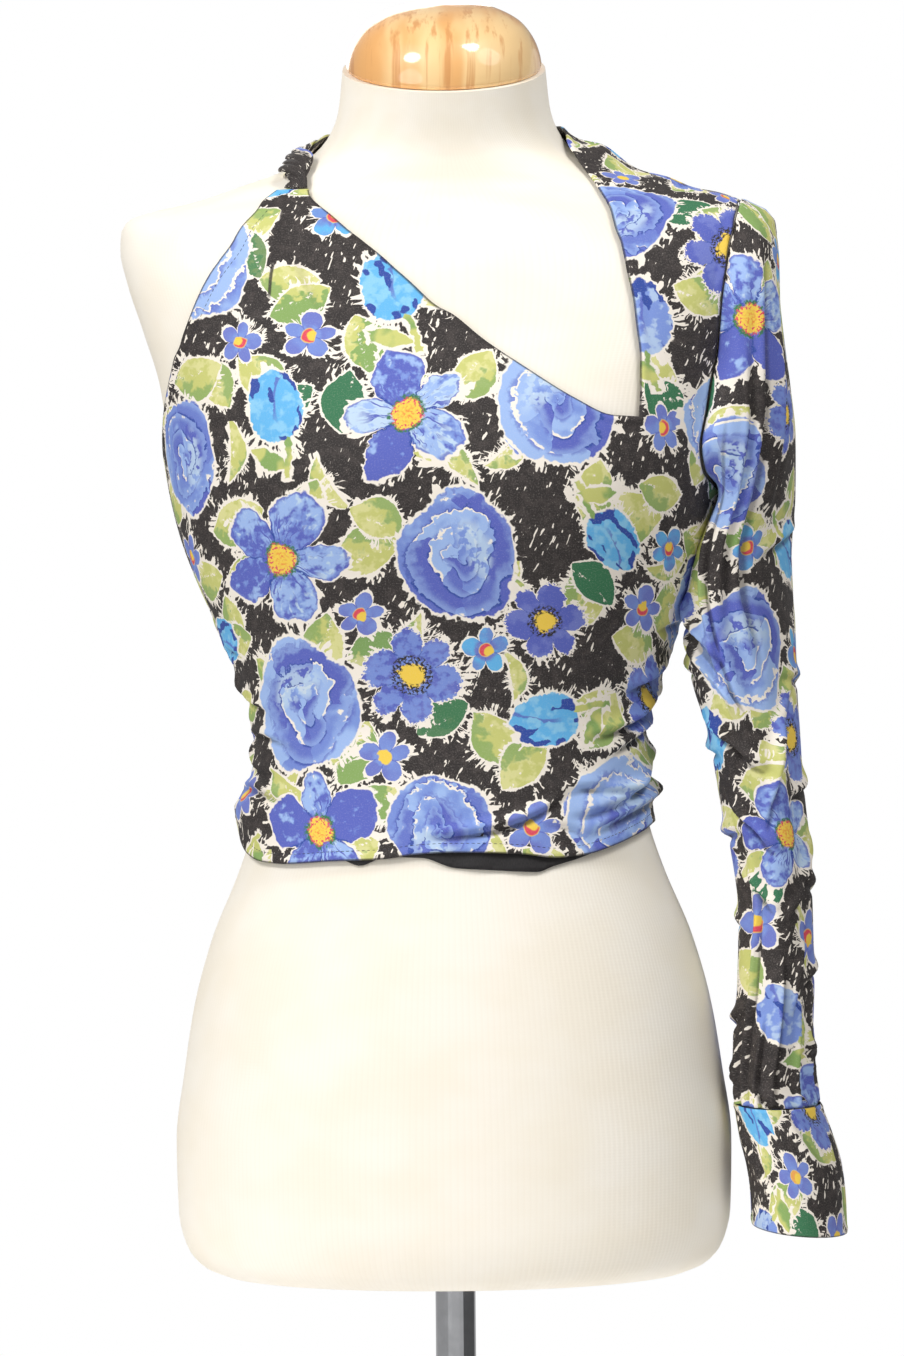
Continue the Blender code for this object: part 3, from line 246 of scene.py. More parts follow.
# Soft folds that run down the sleeve: where each lies round it at the top and at the
# cuff, the stretch of the arm that it takes, its depth and its half width in degrees.
FOLD_COLUMNS = ("turn", "end_turn", "from_down", "to_down", "depth", "half_width")
FOLD_ROWS = (
    (74, 66, 60, 345, 5.0, 15),
    (118, 98, 200, 520, 5.0, 15),
    (28, 30, 260, 545, 3.5, 14),
    (142, 128, 330, 560, 3.5, 14),
    (-114, -98, 120, 430, 5.0, 15),
    (-62, -44, 110, 545, 5.0, 15),
    (-150, -138, 320, 560, 4.0, 14),
)
ARMHOLE_REACH = 34.0       # how far the armhole pulls the sleeve to its own shape
PULL_STEP = 2.0            # degrees between the places on the armhole that pull
PULL_POWER = 4             # the higher, the more only the nearest of them does
ON_EDGE = 0.5              # points of the sleeve closer to one than this lie on its edge
PER_TURN = 0.74            # millimetres of cloth for a degree round the sleeve
CUFF_LAP_GAP = 0.5
CUFF_OVERLAP = 16.0        # degrees by which one end of the cuff covers the other
CUFF_END_TURN = 205.0      # where the outer end lies, behind the inside of the wrist
ARM_CLEARANCE = 1.0        # between the sleeve and the body's cloth or the form
OVER_FORM = 1.6            # from the form to the sleeve's wall inside the armhole
ARM_MIDDLE_UP = 556.0      # level of the middle of the armhole
ARMHOLE_INSET = 0.9        # the sleeve's edge inside the armhole's
ARMHOLE_RISE = 1.4         # and how far it lies outside the body's cloth under the arm
# The part of the body that the sleeve is kept clear of, and the angles and levels between
# which the foot of its cloth runs.
BESIDE_ARM_ANGLES = np.arange(-88.0, 92.0, 3.0)
BESIDE_ARM_UPS = np.arange(24.0, 640.0, 6.0)
BESIDE_ARM_HEM = ((0, 90), (262, 246))

# ---------------------------------------------------------------- shoulder twist
TWIST_COLUMNS = ("along", "angle", "up", "half_width", "half_thick")
TWIST_ROWS = ((0, 126.5, 687.2, 7.0, 1.3), (8, 129.0, 696, 6.0, 2.4),
              (22, 136, 711, 8.4, 3.6), (36, 150, 729, 9.6, 3.9), (50, 170, 741, 8.6, 3.6),
              (64, 192, 749, 8.0, 3.2), (76, 205.5, 751, 7.6, 2.4), (84.5, 212.9, 751, 8.0, 1.3))
TWIST_TURNS = 1.25
TWIST_LOBE = 0.2
TWIST_CLEARANCE = 1.0
TWIST_FULL = 2.5           # half thickness from which its lobes and grooves are full
TWIST_GIRTH = 40.0         # cloth round it
TWIST_ROOT = 4.0           # how far below its start the panels' edges lie hidden in it

# ---------------------------------------------------------------- finer sizes of the looks
THIN = 0.9                 # wall of the cloth as it is seen
CLOTH_PITCH = 2.0          # spacing of the points across a piece of cloth
EDGE_PITCH = 2.4           # and along its edges
EASE_LEAST = 2.2           # the cloth's outside is never closer to the form
HEM_ROLL = 0.45            # how proud a turned edge stands, how far in and over what width
HEM_ROLL_IN = 2.2
HEM_ROLL_HALF = 2.2
HEM_STITCH_IN = 5.5        # the line of stitches from the edge, and the dent along it
HEM_STITCH_DENT = 0.25
HEM_STITCH_HALF = 1.2
CUFF_ROLL = 0.5            # the same for the cuff's two edges
CUFF_ROLL_IN = 2.0
CUFF_ROLL_HALF = 1.6
STITCH_PITCH = 3.2
STITCH_LENGTH = 2.4
THREAD_RADIUS = 0.18
THREAD_PROUD = 0.4         # a stitch's middle above the cloth, as a share of its radius
STITCH_BALL = {"Segments": 6, "Rings": 5, "Radius": 1.0}    # before it is stretched
FINE_TWIST_RINGS = 90
FINE_TWIST_SIDES = 96
TWIST_GROOVES = ((0.6, 0.34, 0.12), (2.1, 0.22, 0.09), (3.4, 0.36, 0.12), (4.6, 0.20, 0.09),
                 (5.5, 0.26, 0.10))    # place round the strap, depth, half width
TWIST_GROOVE_DEPTH = 7.0   # of a groove that takes a whole radius
TWIST_SQUEEZE = 3.0        # how many times the strap's cloth is gathered across it
FINE_FORM_SIDES = 200
FINE_FORM_ROWS = 150
FORM_FOOT_UPS = (0.0, 1.5, 3.0, 5.0, 8.0, 11.0)    # closer levels at its foot
FORM_ROWS_FROM = 14        # and where the even ones begin
SHARP_ANGLE = 50           # edges of the form and its cap are sharp past this many degrees
FINE_CAP_SIDES = 96
FINE_CAP_ROWS = 60
RIB_PITCH = 2.5            # of the jersey's ribs
KNIT_ROW = 1.8
NORMAL_STEPS = (0.3, 0.5)  # degrees and millimetres over which the form's normal is read
SAME_POINT = 0.05          # points of an outline closer than this are one
SAME_PLACE = 0.01          # likewise across the sleeve's seam
ROW_PITCH = 0.87           # between rows of triangles, as a share of their points' spacing
EDGE_FREE = 0.6            # between the edge and the first points inside, likewise
ARMHOLE_POINTS = 90        # along each half of the armhole
# The grids on which flat coordinates are read: degrees each side of a panel's middle and
# its levels, degrees past each edge of the sleeve, and their steps.
PANEL_HALF = 96.0
PANEL_STEP = 2.0
PANEL_UPS = np.arange(236.0, 792.0, 4.0)
SLEEVE_PAST = 6.0
SLEEVE_TURN_STEP = 3.0
SLEEVE_DOWN_STEP = 4.0

# A crease's profile, in its half widths: the steep side with its trough, the gentle side.
CREASE_STEEP = 0.6
CREASE_GENTLE = 1.25
TROUGH_AT = 1.25
TROUGH_HALF = 0.65
TROUGH_DEPTH = 0.7         # as a share of the crease's height
CREASE_FADE = 0.7          # the lower, the longer a crease and a fold stay full
CREASE_ROOT = 0.07         # how far along its rise a crease is at the seam that it starts from
CREASE_PAST = 8.0          # how fast it dies out past that seam
GATHER_FADE = 1.5          # the higher, the sooner a gather dies out
GATHER_PAST = 4.0          # how fast it dies out past its seam
GATHER_LEAD = 0.3          # how far past its seam it keeps its slope, as a share of its length

# Creases listed for the front and back, in millimetres of flat cloth: x is twice the
# angle round the body and y the level.  A row holds its start's x and y, its end's x and y,
# its height, its half width, how far it bows sideways, and 1 where it runs in from a seam
# or 0 where it fades at both ends.
BODY_CREASES = (
    (0, 348, 96, 322, 4.4, 4.0, 4.0, 1),
    (0, 328, 80, 309, 4.0, 3.6, -3.0, 1),
    (0, 306, 118, 275, 4.8, 4.2, 5.0, 1),
    (10, 295, 108, 295, 2.8, 3.4, 6.0, 0),
    (0, 284, 104, 264, 4.2, 3.8, -4.0, 1),
    (0, 370, 70, 350, 3.4, 4.0, 3.0, 1),
    (0, 392, 56, 386, 2.8, 3.8, -2.0, 1),
    (70, 300, 132, 290, 1.4, 4.0, 3.0, 0),
    (112, 288, 194, 265, 4.2, 3.0, 6.0, 0),
    (96, 262, 130, 272, 1.8, 3.0, -2.0, 0),
    (246, 676, 218, 560, 1.6, 5.0, 3.0, 0),
    (268, 664, 268, 596, 2.0, 4.0, 3.0, 0),
    (282, 640, 300, 540, 1.4, 5.0, -3.0, 0),
    (360, 324, 280, 316, 3.0, 3.0, 4.0, 1),
    (360, 350, 306, 340, 2.4, 3.0, -2.0, 1),
    (360, 292, 284, 284, 3.0, 3.2, 3.0, 1),
    (360, 307, 296, 302, 2.0, 2.6, -2.0, 1),
    (360, 378, 320, 372, 1.8, 3.4, 2.0, 1),
    (360, 300, 430, 284, 3.0, 3.4, -4.0, 1),
    (360, 322, 452, 312, 3.2, 3.2, 3.0, 1),
    (360, 345, 420, 350, 2.4, 3.0, 3.0, 1),
    (360, 276, 410, 268, 2.2, 3.0, -2.0, 1),
    (720, 300, 640, 276, 2.2, 4.0, 4.0, 1),
    (720, 326, 654, 318, 2.2, 3.6, 3.0, 1),
    (720, 346, 640, 338, 2.4, 3.8, -3.0, 1),
    (720, 372, 676, 366, 1.8, 3.6, 2.0, 1),
    (720, 283, 664, 270, 2.0, 3.4, -2.0, 1),
    (480, 300, 610, 286, 2.0, 4.0, 5.0, 0),
    (520, 340, 600, 356, 1.4, 5.0, 4.0, 0),
)
# The tuck below the strap: its line on the flat cloth, and how proud its folded side stands.
TUCK_LINE = ((253, 680), (240, 655), (233, 638), (231, 617), (235, 590))
TUCK_HEIGHT = 2.2
TUCK_REACH = 9.0
TUCK_RISE = 1.6            # width over which that side rises
TUCK_FADE = 0.6            # the lower, the longer the tuck stays full
# The sleeve's and the cuff's, with x the turn in degrees times the cloth in a degree.
SLEEVE_CREASES = (
    (46, 30, 42, 300, 5.0, 4.6, 4.0, 0),
    (64, 100, 60, 262, 4.0, 3.4, -3.0, 0),
    (82, 140, 68, 330, 4.6, 3.8, 5.0, 0),
    (24, 60, 28, 200, 3.6, 4.2, 3.0, 0),
    (122, 236, 66, 290, 5.4, 3.6, 5.0, 0),
    (120, 268, 60, 328, 4.6, 3.4, -5.0, 0),
    (114, 316, 46, 352, 4.6, 3.6, 5.0, 0),
    (4, 296, 52, 376, 4.8, 4.0, 6.0, 0),
    (30, 318, 66, 390, 3.6, 3.2, -3.0, 0),
    (108, 364, 50, 402, 4.4, 3.4, 4.0, 0),
    (0, 392, 50, 440, 4.2, 3.8, -5.0, 0),
    (100, 412, 58, 436, 3.6, 3.2, 3.0, 0),
    (86, 430, 94, 560, 4.4, 3.6, 3.0, 0),
    (20, 446, 44, 500, 3.6, 3.4, 3.0, 0),
    (56, 462, 62, 566, 4.2, 3.2, -2.0, 0),
    (32, 486, 30, 566, 3.8, 3.2, 2.0, 0),
    (74, 500, 76, 566, 3.4, 2.8, 1.0, 0),
    (14, 500, 8, 566, 3.6, 3.2, 1.0, 0),
    (106, 506, 106, 566, 3.2, 2.8, 1.0, 0),
    (90, 536, 40, 556, 2.8, 2.8, 2.0, 0),
    (-44, 60, -40, 280, 4.2, 5.0, -4.0, 0),
    (-70, 120, -60, 330, 3.9, 4.5, 4.0, 0),
    (-112, 236, -60, 300, 4.5, 3.8, 4.0, 0),
    (-100, 326, -38, 372, 4.0, 3.8, -4.0, 0),
    (-16, 376, -66, 432, 3.6, 4.0, 3.0, 0),
    (-90, 426, -82, 562, 4.2, 3.8, 2.0, 0),
    (-50, 466, -54, 566, 3.6, 3.4, 2.0, 0),
    (-24, 488, -20, 566, 3.4, 3.2, 1.0, 0),
    (-112, 500, -108, 566, 2.8, 3.0, 1.0, 0),
    (-20, 206, 34, 228, 2.6, 4.0, 2.0, 0),
    (-26, 300, 22, 296, 2.4, 4.0, 2.0, 0),
    (-20, 352, 26, 368, 3.0, 3.8, -3.0, 0),
    (-24, 428, 28, 416, 2.6, 4.0, 2.0, 0),
    (-18, 470, 30, 484, 2.8, 3.8, 3.0, 0),
    (-24, 526, 26, 518, 2.6, 3.6, 2.0, 0),
    (98, 296, 158, 284, 3.0, 4.0, 2.0, 0),
    (102, 340, 160, 330, 3.2, 3.8, -3.0, 0),
    (96, 388, 162, 398, 3.4, 4.0, 3.0, 0),
    (104, 448, 158, 438, 2.6, 3.8, 2.0, 0),
    (98, 494, 156, 506, 3.0, 3.8, -2.0, 0),
    (100, 540, 150, 532, 2.4, 3.4, 2.0, 0),
)
CUFF_CREASES = (
    (110, 4, 86, 52, 2.2, 3.4, 3.0, 0),
    (52, 2, 30, 44, 1.4, 4.0, 3.0, 0),
    (14, 6, 26, 58, 1.2, 4.0, -3.0, 0),
    (-40, 4, -62, 50, 1.6, 4.0, 3.0, 0),
)

# The print, as layers of motifs: the layer, the motif's radius, how many on 0.1 square
# metre, how close it may come to the motifs before it, and whether it keeps clear of them.
MOTIF_LAYERS = (
    ("rose", 46.0, 5.5, 0.88, True),
    ("tulip", 41.0, 6.0, 0.78, True),
    ("wide", 47.0, 6.0, 0.82, True),
    ("flat", 33.0, 6.0, 0.8, True),
    ("small", 19.0, 36.0, 0.84, True),
    ("leaf_a", 22.0, 42.0, 1.0, False),
    ("leaf_b", 20.0, 42.0, 1.0, False),
)
MOTIF_SIZES = (0.86, 1.12)  # the least and the greatest, as shares of the radius
MOTIF_GAP = 5.0            # between motifs of one layer
MOTIF_TRIES = 60           # for each one that is wanted
PRINT_MARGIN = 20.0        # how far past the cloth's edges motifs may lie
PAINT_ORDER = ("leaf_a", "leaf_b", "tulip", "flat", "small", "wide", "rose")
FAR_AWAY = 9.0
FRONT_SEED = 11
BACK_SEED = 23
SLEEVE_SEED = 37
CUFF_SEED = 41
TWIST_SEED = 53
TWIST_FULLNESS = 0.3       # the strap shows mostly the print's dark ground

# ---------------------------------------------------------------- camera and lights
CAMERA_X = 1.4
CAMERA_DISTANCE = 2500.0
CAMERA_UP = 355.0
CAMERA_ROLL = 0.545
PHOTO_HEIGHT = 1356.0      # pixels
PHOTO_SCALE = 0.6          # millimetres to a pixel at the middle of the form
CAMERA_SEES = 20.0         # metres
SENSOR_HEIGHT = 36.0
FLOOR_RADIUS = 2.6
FLOOR_SIDES = 96
FLOOR_FADE = (0.25, 0.85)  # metres from the stand, from the floor's own grey to white
FLOOR_GLOW = 0.55
WORLD_LIGHT = 0.27
LIGHTS = (
    ("key", (-1.5, -1.8, 2.3), (0.0, 0.0, 0.6), 0.9, 42.0),
    ("front", (-1.7, -2.0, 0.7), (0.0, 0.0, 0.5), 1.4, 17.0),
    ("overhead", (1.0, -1.2, 2.7), (0.0, 0.0, 0.8), 0.7, 22.0),
    ("neck", (0.9, -0.6, 1.5), (0.0, 0.0, 1.0), 0.6, 2.6),
    ("back", (-0.6, 2.2, 1.8), (0.0, 0.0, 0.7), 1.6, 18.0),
    ("edge", (1.6, 1.9, 0.9), (0.0, 0.0, 0.5), 1.8, 3.5),
)
# What the chrome shows of the room in front, to its left and to its right.
ROOM_LIGHT = (0.42, 0.32, 0.08)


# ================================================================ reading the tables
def table(columns, rows):
    """Turn a table of rows into a dictionary with one array for each named column."""
    values = np.array(rows, dtype=float)
    return {name: values[:, i] for i, name in enumerate(columns)}


def steady_slopes(x, y):
    """Slopes that carry a smooth curve through (x, y) with no overshoot between rows."""
    step = np.diff(x)
    secant = np.diff(y) / step
    slope = np.empty_like(y)
    slope[0], slope[-1] = secant[0], secant[-1]
    before, after = secant[:-1], secant[1:]
    w_before, w_after = 2 * step[1:] + step[:-1], step[1:] + 2 * step[:-1]
    same_way = before * after > 0
    safe_before = np.where(same_way, before, 1.0)
    safe_after = np.where(same_way, after, 1.0)
    mean = (w_before + w_after) / (w_before / safe_before + w_after / safe_after)
    slope[1:-1] = np.where(same_way, mean, 0.0)
    return slope


class Curves:
    """Smooth curves through every column of a table, read at any value of the first."""

    def __init__(self, columns, rows):
        self.data = table(columns, rows)
        self.key = self.data[columns[0]]
        self.slopes = {n: steady_slopes(self.key, v) for n, v in self.data.items()}

    def read(self, name, at):
        at = np.clip(np.asarray(at, dtype=float), self.key[0], self.key[-1])
        i = np.clip(np.searchsorted(self.key, at, side="right") - 1, 0, len(self.key) - 2)
        step = self.key[i + 1] - self.key[i]
        t = (at - self.key[i]) / step
        low, high = self.data[name][i], self.data[name][i + 1]
        slope_low, slope_high = self.slopes[name][i], self.slopes[name][i + 1]
        return (low * (1 + 2 * t) * (1 - t) ** 2 + slope_low * step * t * (1 - t) ** 2
                + high * t * t * (3 - 2 * t) - slope_high * step * t * t * (1 - t))


FORM = Curves(FORM_COLUMNS, FORM_ROWS)
ARMHOLE = Curves(ARMHOLE_COLUMNS, ARMHOLE_ROWS)
SLEEVE = Curves(RING_COLUMNS, SLEEVE_ROWS)
CUFF = Curves(RING_COLUMNS, CUFF_ROWS)
TWIST = Curves(TWIST_COLUMNS, TWIST_ROWS)
SWELLS = table(SWELL_COLUMNS, SWELL_ROWS)
GATHERS = table(GATHER_COLUMNS, GATHER_ROWS)
FOLDS = table(FOLD_COLUMNS, FOLD_ROWS)


# ================================================================ surfaces
def form_point(angle, up):
    """A point of the dress form, from the angle round it in degrees and the level.

    Angle 0 is the side with the sleeve, 90 the centre front, 180 the other side and 270
    the centre back.
    """
    angle = np.radians(np.asarray(angle, dtype=float))
    up = np.asarray(up, dtype=float)
    c, s = np.cos(angle), np.sin(angle)
    names = ("side_x", "side_y", "side_z", "front_z", "back_z", "square")
    side_x, side_y, side_z, front_z, back_z, square = (FORM.read(n, up) for n in names)
    in_front = s > 0
    mid_y = np.where(in_front, FORM.read("front_y", up), FORM.read("back_y", up))
    x = side_x * np.sign(c) * np.abs(c) ** square
    y = side_y + (mid_y - side_y) * np.abs(s) ** square
    both = (front_z + back_z) / 2 - side_z
    tilt = (front_z - back_z) / 2
    z = side_z + both * s * s + tilt * s
    bust = np.exp(-((np.abs(x) - BUST_ACROSS) ** 2 + (z - BUST_UP) ** 2)
                  / (2 * BUST_SPREAD ** 2))
    y = y - np.where(in_front, BUST_PROUD * bust * s, 0.0)
    return np.stack([x, y, z], axis=-1)


def outward(surface, a, b, step_a, step_b):
    """The outward normal of a surface of two parameters."""
    along_a = surface(a + step_a, b) - surface(a - step_a, b)
    along_b = surface(a, b + step_b) - surface(a, b - step_b)
    normal = np.cross(along_b, along_a)
    return normal / np.linalg.norm(normal, axis=-1, keepdims=True)


def form_normal(angle, up):
    """The outward normal of the form."""
    return outward(form_point, angle, up, *NORMAL_STEPS)


def off_form(angle, up, height):
    """A point at a height above the form."""
    angle, up = np.broadcast_arrays(np.asarray(angle, float), np.asarray(up, float))
    return form_point(angle, up) + form_normal(angle, up) * np.asarray(height)[..., None]


def turned(angle):
    """An angle brought to between -90 and 270 degrees."""
    return (np.asarray(angle, dtype=float) + 90.0) % 360.0 - 90.0


def body_ease(angle, up):
    """How far the outside of the front and the back stands off the form."""
    angle = turned(angle)
    up = np.asarray(up, dtype=float)
    high = 1 / (1 + np.exp(-(up - EASE_TURN_UP) / EASE_TURN_SPREAD))
    ease = EASE_LOW + (EASE_HIGH - EASE_LOW) * high
    for a, u, spread_a, spread_u, height in zip(*SWELLS.values()):
        ease = ease + height * np.exp(-((angle - a) / spread_a) ** 2
                                      - ((up - u) / spread_u) ** 2)
    for a, u, end_a, end_u, height, half_width in zip(*GATHERS.values()):
        reach = (end_a - a) * PER_DEGREE
        share = (angle - a) * PER_DEGREE / reach
        centre = u + (end_u - u) * np.clip(share, -GATHER_LEAD, 1.0)
        fade = np.where(share > 0, 1 - share, 1 + share * GATHER_PAST)
        fade = np.clip(fade, 0, 1) ** GATHER_FADE
        ease = ease + height * fade * np.exp(-((up - centre) / half_width) ** 2)
    return ease


def arm_ring(rows, turn, down):
    """A point of a section of the sleeve or the cuff, before its folds."""
    turn_r = np.radians(turn)
    c, s = np.cos(turn_r), np.sin(turn_r)
    outer_x, outer_z, inner_x, inner_z, mid_y, half_depth, lean = (
        rows.read(n, down) for n in RING_COLUMNS[1:])
    half_x = np.sqrt(((outer_x - inner_x) / 2) ** 2 - lean ** 2)
    x = (outer_x + inner_x) / 2 + half_x * c - lean * s
    y = mid_y - half_depth * s
    z = (outer_z + inner_z) / 2 + (outer_z - inner_z) / 2 * c
    return np.stack([x, y, z], axis=-1)


def arm_folds(turn, down):
    """How deep the soft folds are at a place on the sleeve."""
    depth = np.zeros(np.broadcast(turn, down).shape)
    for top, end, start, stop, deep, half_width in zip(*FOLDS.values()):
        share = np.clip((down - start) / (stop - start), 0, 1)
        away = (turn - (top + (end - top) * share) + 180) % 360 - 180
        fade = np.sin(np.pi * share) ** CREASE_FADE
        depth = depth + deep * fade * np.exp(-(away / half_width) ** 2)
    return depth


def moved_clear(points):
    """Move points of the sleeve or the cuff out of the body's cloth and off the form."""
    angles, ups = (v.ravel() for v in np.meshgrid(BESIDE_ARM_ANGLES, BESIDE_ARM_UPS))
    turn = np.degrees(np.arctan2(angles * PER_DEGREE, ups - ARM_MIDDLE_UP)) % 360
    hole = np.hypot(ARMHOLE.read("angle", turn) * PER_DEGREE,
                    ARMHOLE.read("up", turn) - ARM_MIDDLE_UP)
    in_hole = np.hypot(angles * PER_DEGREE, ups - ARM_MIDDLE_UP) < hole
    covered = ~in_hole & (ups > np.interp(np.abs(angles), *BESIDE_ARM_HEM))
    height = np.where(in_hole, CLOTH + OVER_FORM, 0.0)
    height = np.where(covered, body_ease(angles, ups), height)
    surface, normal = off_form(angles, ups, height), form_normal(angles, ups)
    flat = points.reshape(-1, 3)
    tree = KDTree(len(surface))
    for i, place in enumerate(surface):
        tree.insert(place, i)
    tree.balance()
    nearest = np.array([tree.find(p)[1] for p in flat])
    gap = ((flat - surface[nearest]) * normal[nearest]).sum(axis=1)
    push = np.maximum(ARM_CLEARANCE - gap, 0.0)
    return (flat + normal[nearest] * push[:, None]).reshape(points.shape)


def armhole_edge(turn, inset):
    """Angle and level of the armhole, moved towards its middle by an inset."""
    angle, up = ARMHOLE.read("angle", turn), ARMHOLE.read("up", turn)
    reach = np.hypot(angle * PER_DEGREE, up - ARM_MIDDLE_UP)
    share = 1 - inset / reach
    return angle * share, ARM_MIDDLE_UP + (up - ARM_MIDDLE_UP) * share


def armhole_seat(turns):
    """The sleeve's edge round the armhole: its points and their places on the sleeve."""
    angle, up = armhole_edge(turns, ARMHOLE_INSET)
    rise = ARMHOLE_RISE * (1 - np.cos(np.radians(turns))) / 2
    edge = off_form(angle, up, body_ease(angle, up) + rise)
    down = np.interp(edge[:, 2], SLEEVE.data["outer_z"][::-1], SLEEVE.key[::-1])
    outer_x, inner_x, mid_y, half_depth, lean = (
        SLEEVE.read(n, down) for n in ("outer_x", "inner_x", "mid_y", "half_depth", "lean"))
    half_x = np.sqrt(((outer_x - inner_x) / 2) ** 2 - lean ** 2)
    sine = (mid_y - edge[:, 1]) / half_depth
    cosine = (edge[:, 0] - (outer_x + inner_x) / 2 + lean * sine) / half_x
    turn = np.degrees(np.unwrap(np.arctan2(sine, cosine)))
    return edge, turn, down


def sleeve_creases(turn, down):
    """The creases of the sleeve, whose places run on round it."""
    x = ((turn + 180) % 360 - 180) * PER_TURN
    again = crease_height(x + 360 * PER_TURN, down, SLEEVE_CREASES, -1)
    return crease_height(x, down, SLEEVE_CREASES, -1) + again


def sleeve_surface(turn, down):
    """Points of the outside of the sleeve at turns round it and tape lengths down it."""
    edge, edge_turn, edge_down = armhole_seat(np.arange(0.0, 360.0, PULL_STEP))
    pull = edge - arm_ring(SLEEVE, edge_turn, edge_down)
    aside = (turn[:, None] - edge_turn + 180) % 360 - 180
    away = np.hypot(aside * PER_TURN, down[:, None] - edge_down) + 1e-3
    weight = away ** -PULL_POWER
    near = np.exp(-(away.min(axis=1) / ARMHOLE_REACH) ** 2)
    pull = (weight @ pull) / weight.sum(axis=1, keepdims=True)
    points = arm_ring(SLEEVE, turn, down)
    normal = -outward(lambda a, b: arm_ring(SLEEVE, a, b), turn, down, 1.0, 1.0)
    inward = (arm_folds(turn, down) - sleeve_creases(turn, down)) * (1 - near)
    points = points + pull * near[:, None] - normal * inward[:, None]
    on_edge = away.min(axis=1) < ON_EDGE
    return np.where(on_edge[:, None], points, moved_clear(points))


def smooth_line(points, pitch):
    """Points about a pitch apart along a smooth curve through the given ones."""
    points = np.array(points, dtype=float)
    cloth = points * (PER_DEGREE, 1.0)
    steps = np.hypot(*np.diff(cloth, axis=0).T)
    along = np.concatenate([[0.0], np.cumsum(steps)])
    curve = Curves(("along", "angle", "up"), np.column_stack([along, points]))
    at = np.linspace(0, along[-1], max(2, int(round(along[-1] / pitch)) + 1))
    return list(zip(curve.read("angle", at), curve.read("up", at)))


def joined(*lines):
    """One closed outline from lines that follow each other, with no point twice."""
    outline = []
    for line in lines:
        for point in line:
            if not outline or math.dist(point, outline[-1]) > SAME_POINT:
                outline.append(tuple(point))
    if math.dist(outline[0], outline[-1]) < SAME_POINT:
        outline.pop()
    return outline


# ================================================================ fine cloth
def crease_height(x, y, rows, upward):
    """Soft ridges listed for a flat piece of cloth, each with a trough on its lower side
    or, where it runs up and down, on its outer side.  `upward` is 1 where y rises, else -1.
    """
    total = np.zeros(np.shape(x))
    for start_x, start_y, end_x, end_y, height, half_width, bow, from_start in rows:
        run_x, run_y = end_x - start_x, end_y - start_y
        length = math.hypot(run_x, run_y)
        share = ((x - start_x) * run_x + (y - start_y) * run_y) / length ** 2
        bent = bow * 4 * share * (1 - share)
        off = ((x - start_x) * run_y - (y - start_y) * run_x) / length - bent
        level = abs(run_x) > abs(run_y)
        off = off * (np.sign(run_x) * upward if level else -np.sign(run_y))
        inside = np.clip(share, 0, 1)
        free = np.sin(np.pi * inside) ** CREASE_FADE
        rooted = np.sin(np.pi * (CREASE_ROOT + (1 - CREASE_ROOT) * inside))
        rooted = rooted * np.clip(1 + share * CREASE_PAST, 0, 1)
        fade = free + (rooted - free) * from_start
        off = off / half_width
        ridge = np.exp(-(off / np.where(off > 0, CREASE_STEEP, CREASE_GENTLE)) ** 2)
        trough = np.exp(-((off - TROUGH_AT) / TROUGH_HALF) ** 2)
        total = total + height * fade * (ridge - TROUGH_DEPTH * trough)
    return total


def tuck_distance(angle, up):
    """How far places of the front lie beside the tuck, and along it from 0 to 1."""
    line = np.array(TUCK_LINE, dtype=float)[::-1]
    share = (up - line[0, 1]) / (line[-1, 1] - line[0, 1])
    return turned(angle) * PER_DEGREE - np.interp(up, line[:, 1], line[:, 0]), share


def body_creases(angle, up):
    """The creases of the front and back, whose places run on past the side seams."""
    x = turned(angle) * PER_DEGREE
    again = crease_height(x + 360 * PER_DEGREE, up, BODY_CREASES, 1)
    return crease_height(x, up, BODY_CREASES, 1) + again


def body_height(angle, up, away):
    """How far the outside of the front or back stands off the form, with fine creases."""
    angle = turned(angle)
    up = np.asarray(up, float)
    fine = body_creases(angle, up)
    aside, share = tuck_distance(angle, up)
    proud = (np.exp(-np.clip(aside, 0, None) / TUCK_REACH)
             * np.clip(aside / TUCK_RISE + 0.5, 0, 1))
    fine = fine + TUCK_HEIGHT * proud * np.sin(np.pi * np.clip(share, 0, 1)) ** TUCK_FADE
    hem = HEM_ROLL * np.exp(-((away - HEM_ROLL_IN) / HEM_ROLL_HALF) ** 2)
    hem = hem - HEM_STITCH_DENT * np.exp(-((away - HEM_STITCH_IN) / HEM_STITCH_HALF) ** 2)
    return np.maximum(body_ease(angle, up) + fine, EASE_LEAST) + hem


def edge_distance(points, outline):
    """How far points lie from an outline's edge, and whether they are inside it."""
    away = np.full(len(points), np.inf)
    inside = np.zeros(len(points), dtype=bool)
    x, y = points.T
    for (ax, ay), (bx, by) in zip(outline, np.roll(outline, -1, axis=0)):
        run_x, run_y = bx - ax, by - ay
        share = ((x - ax) * run_x + (y - ay) * run_y) / max(run_x ** 2 + run_y ** 2, 1e-9)
        share = np.clip(share, 0, 1)
        away = np.minimum(away, (ax + share * run_x - x) ** 2 + (ay + share * run_y - y) ** 2)
        if ay != by:
            crosses = (ay > y) != (by > y)
            inside ^= crosses & (ax + (y - ay) * run_x / run_y > x)
    return np.sqrt(away), inside


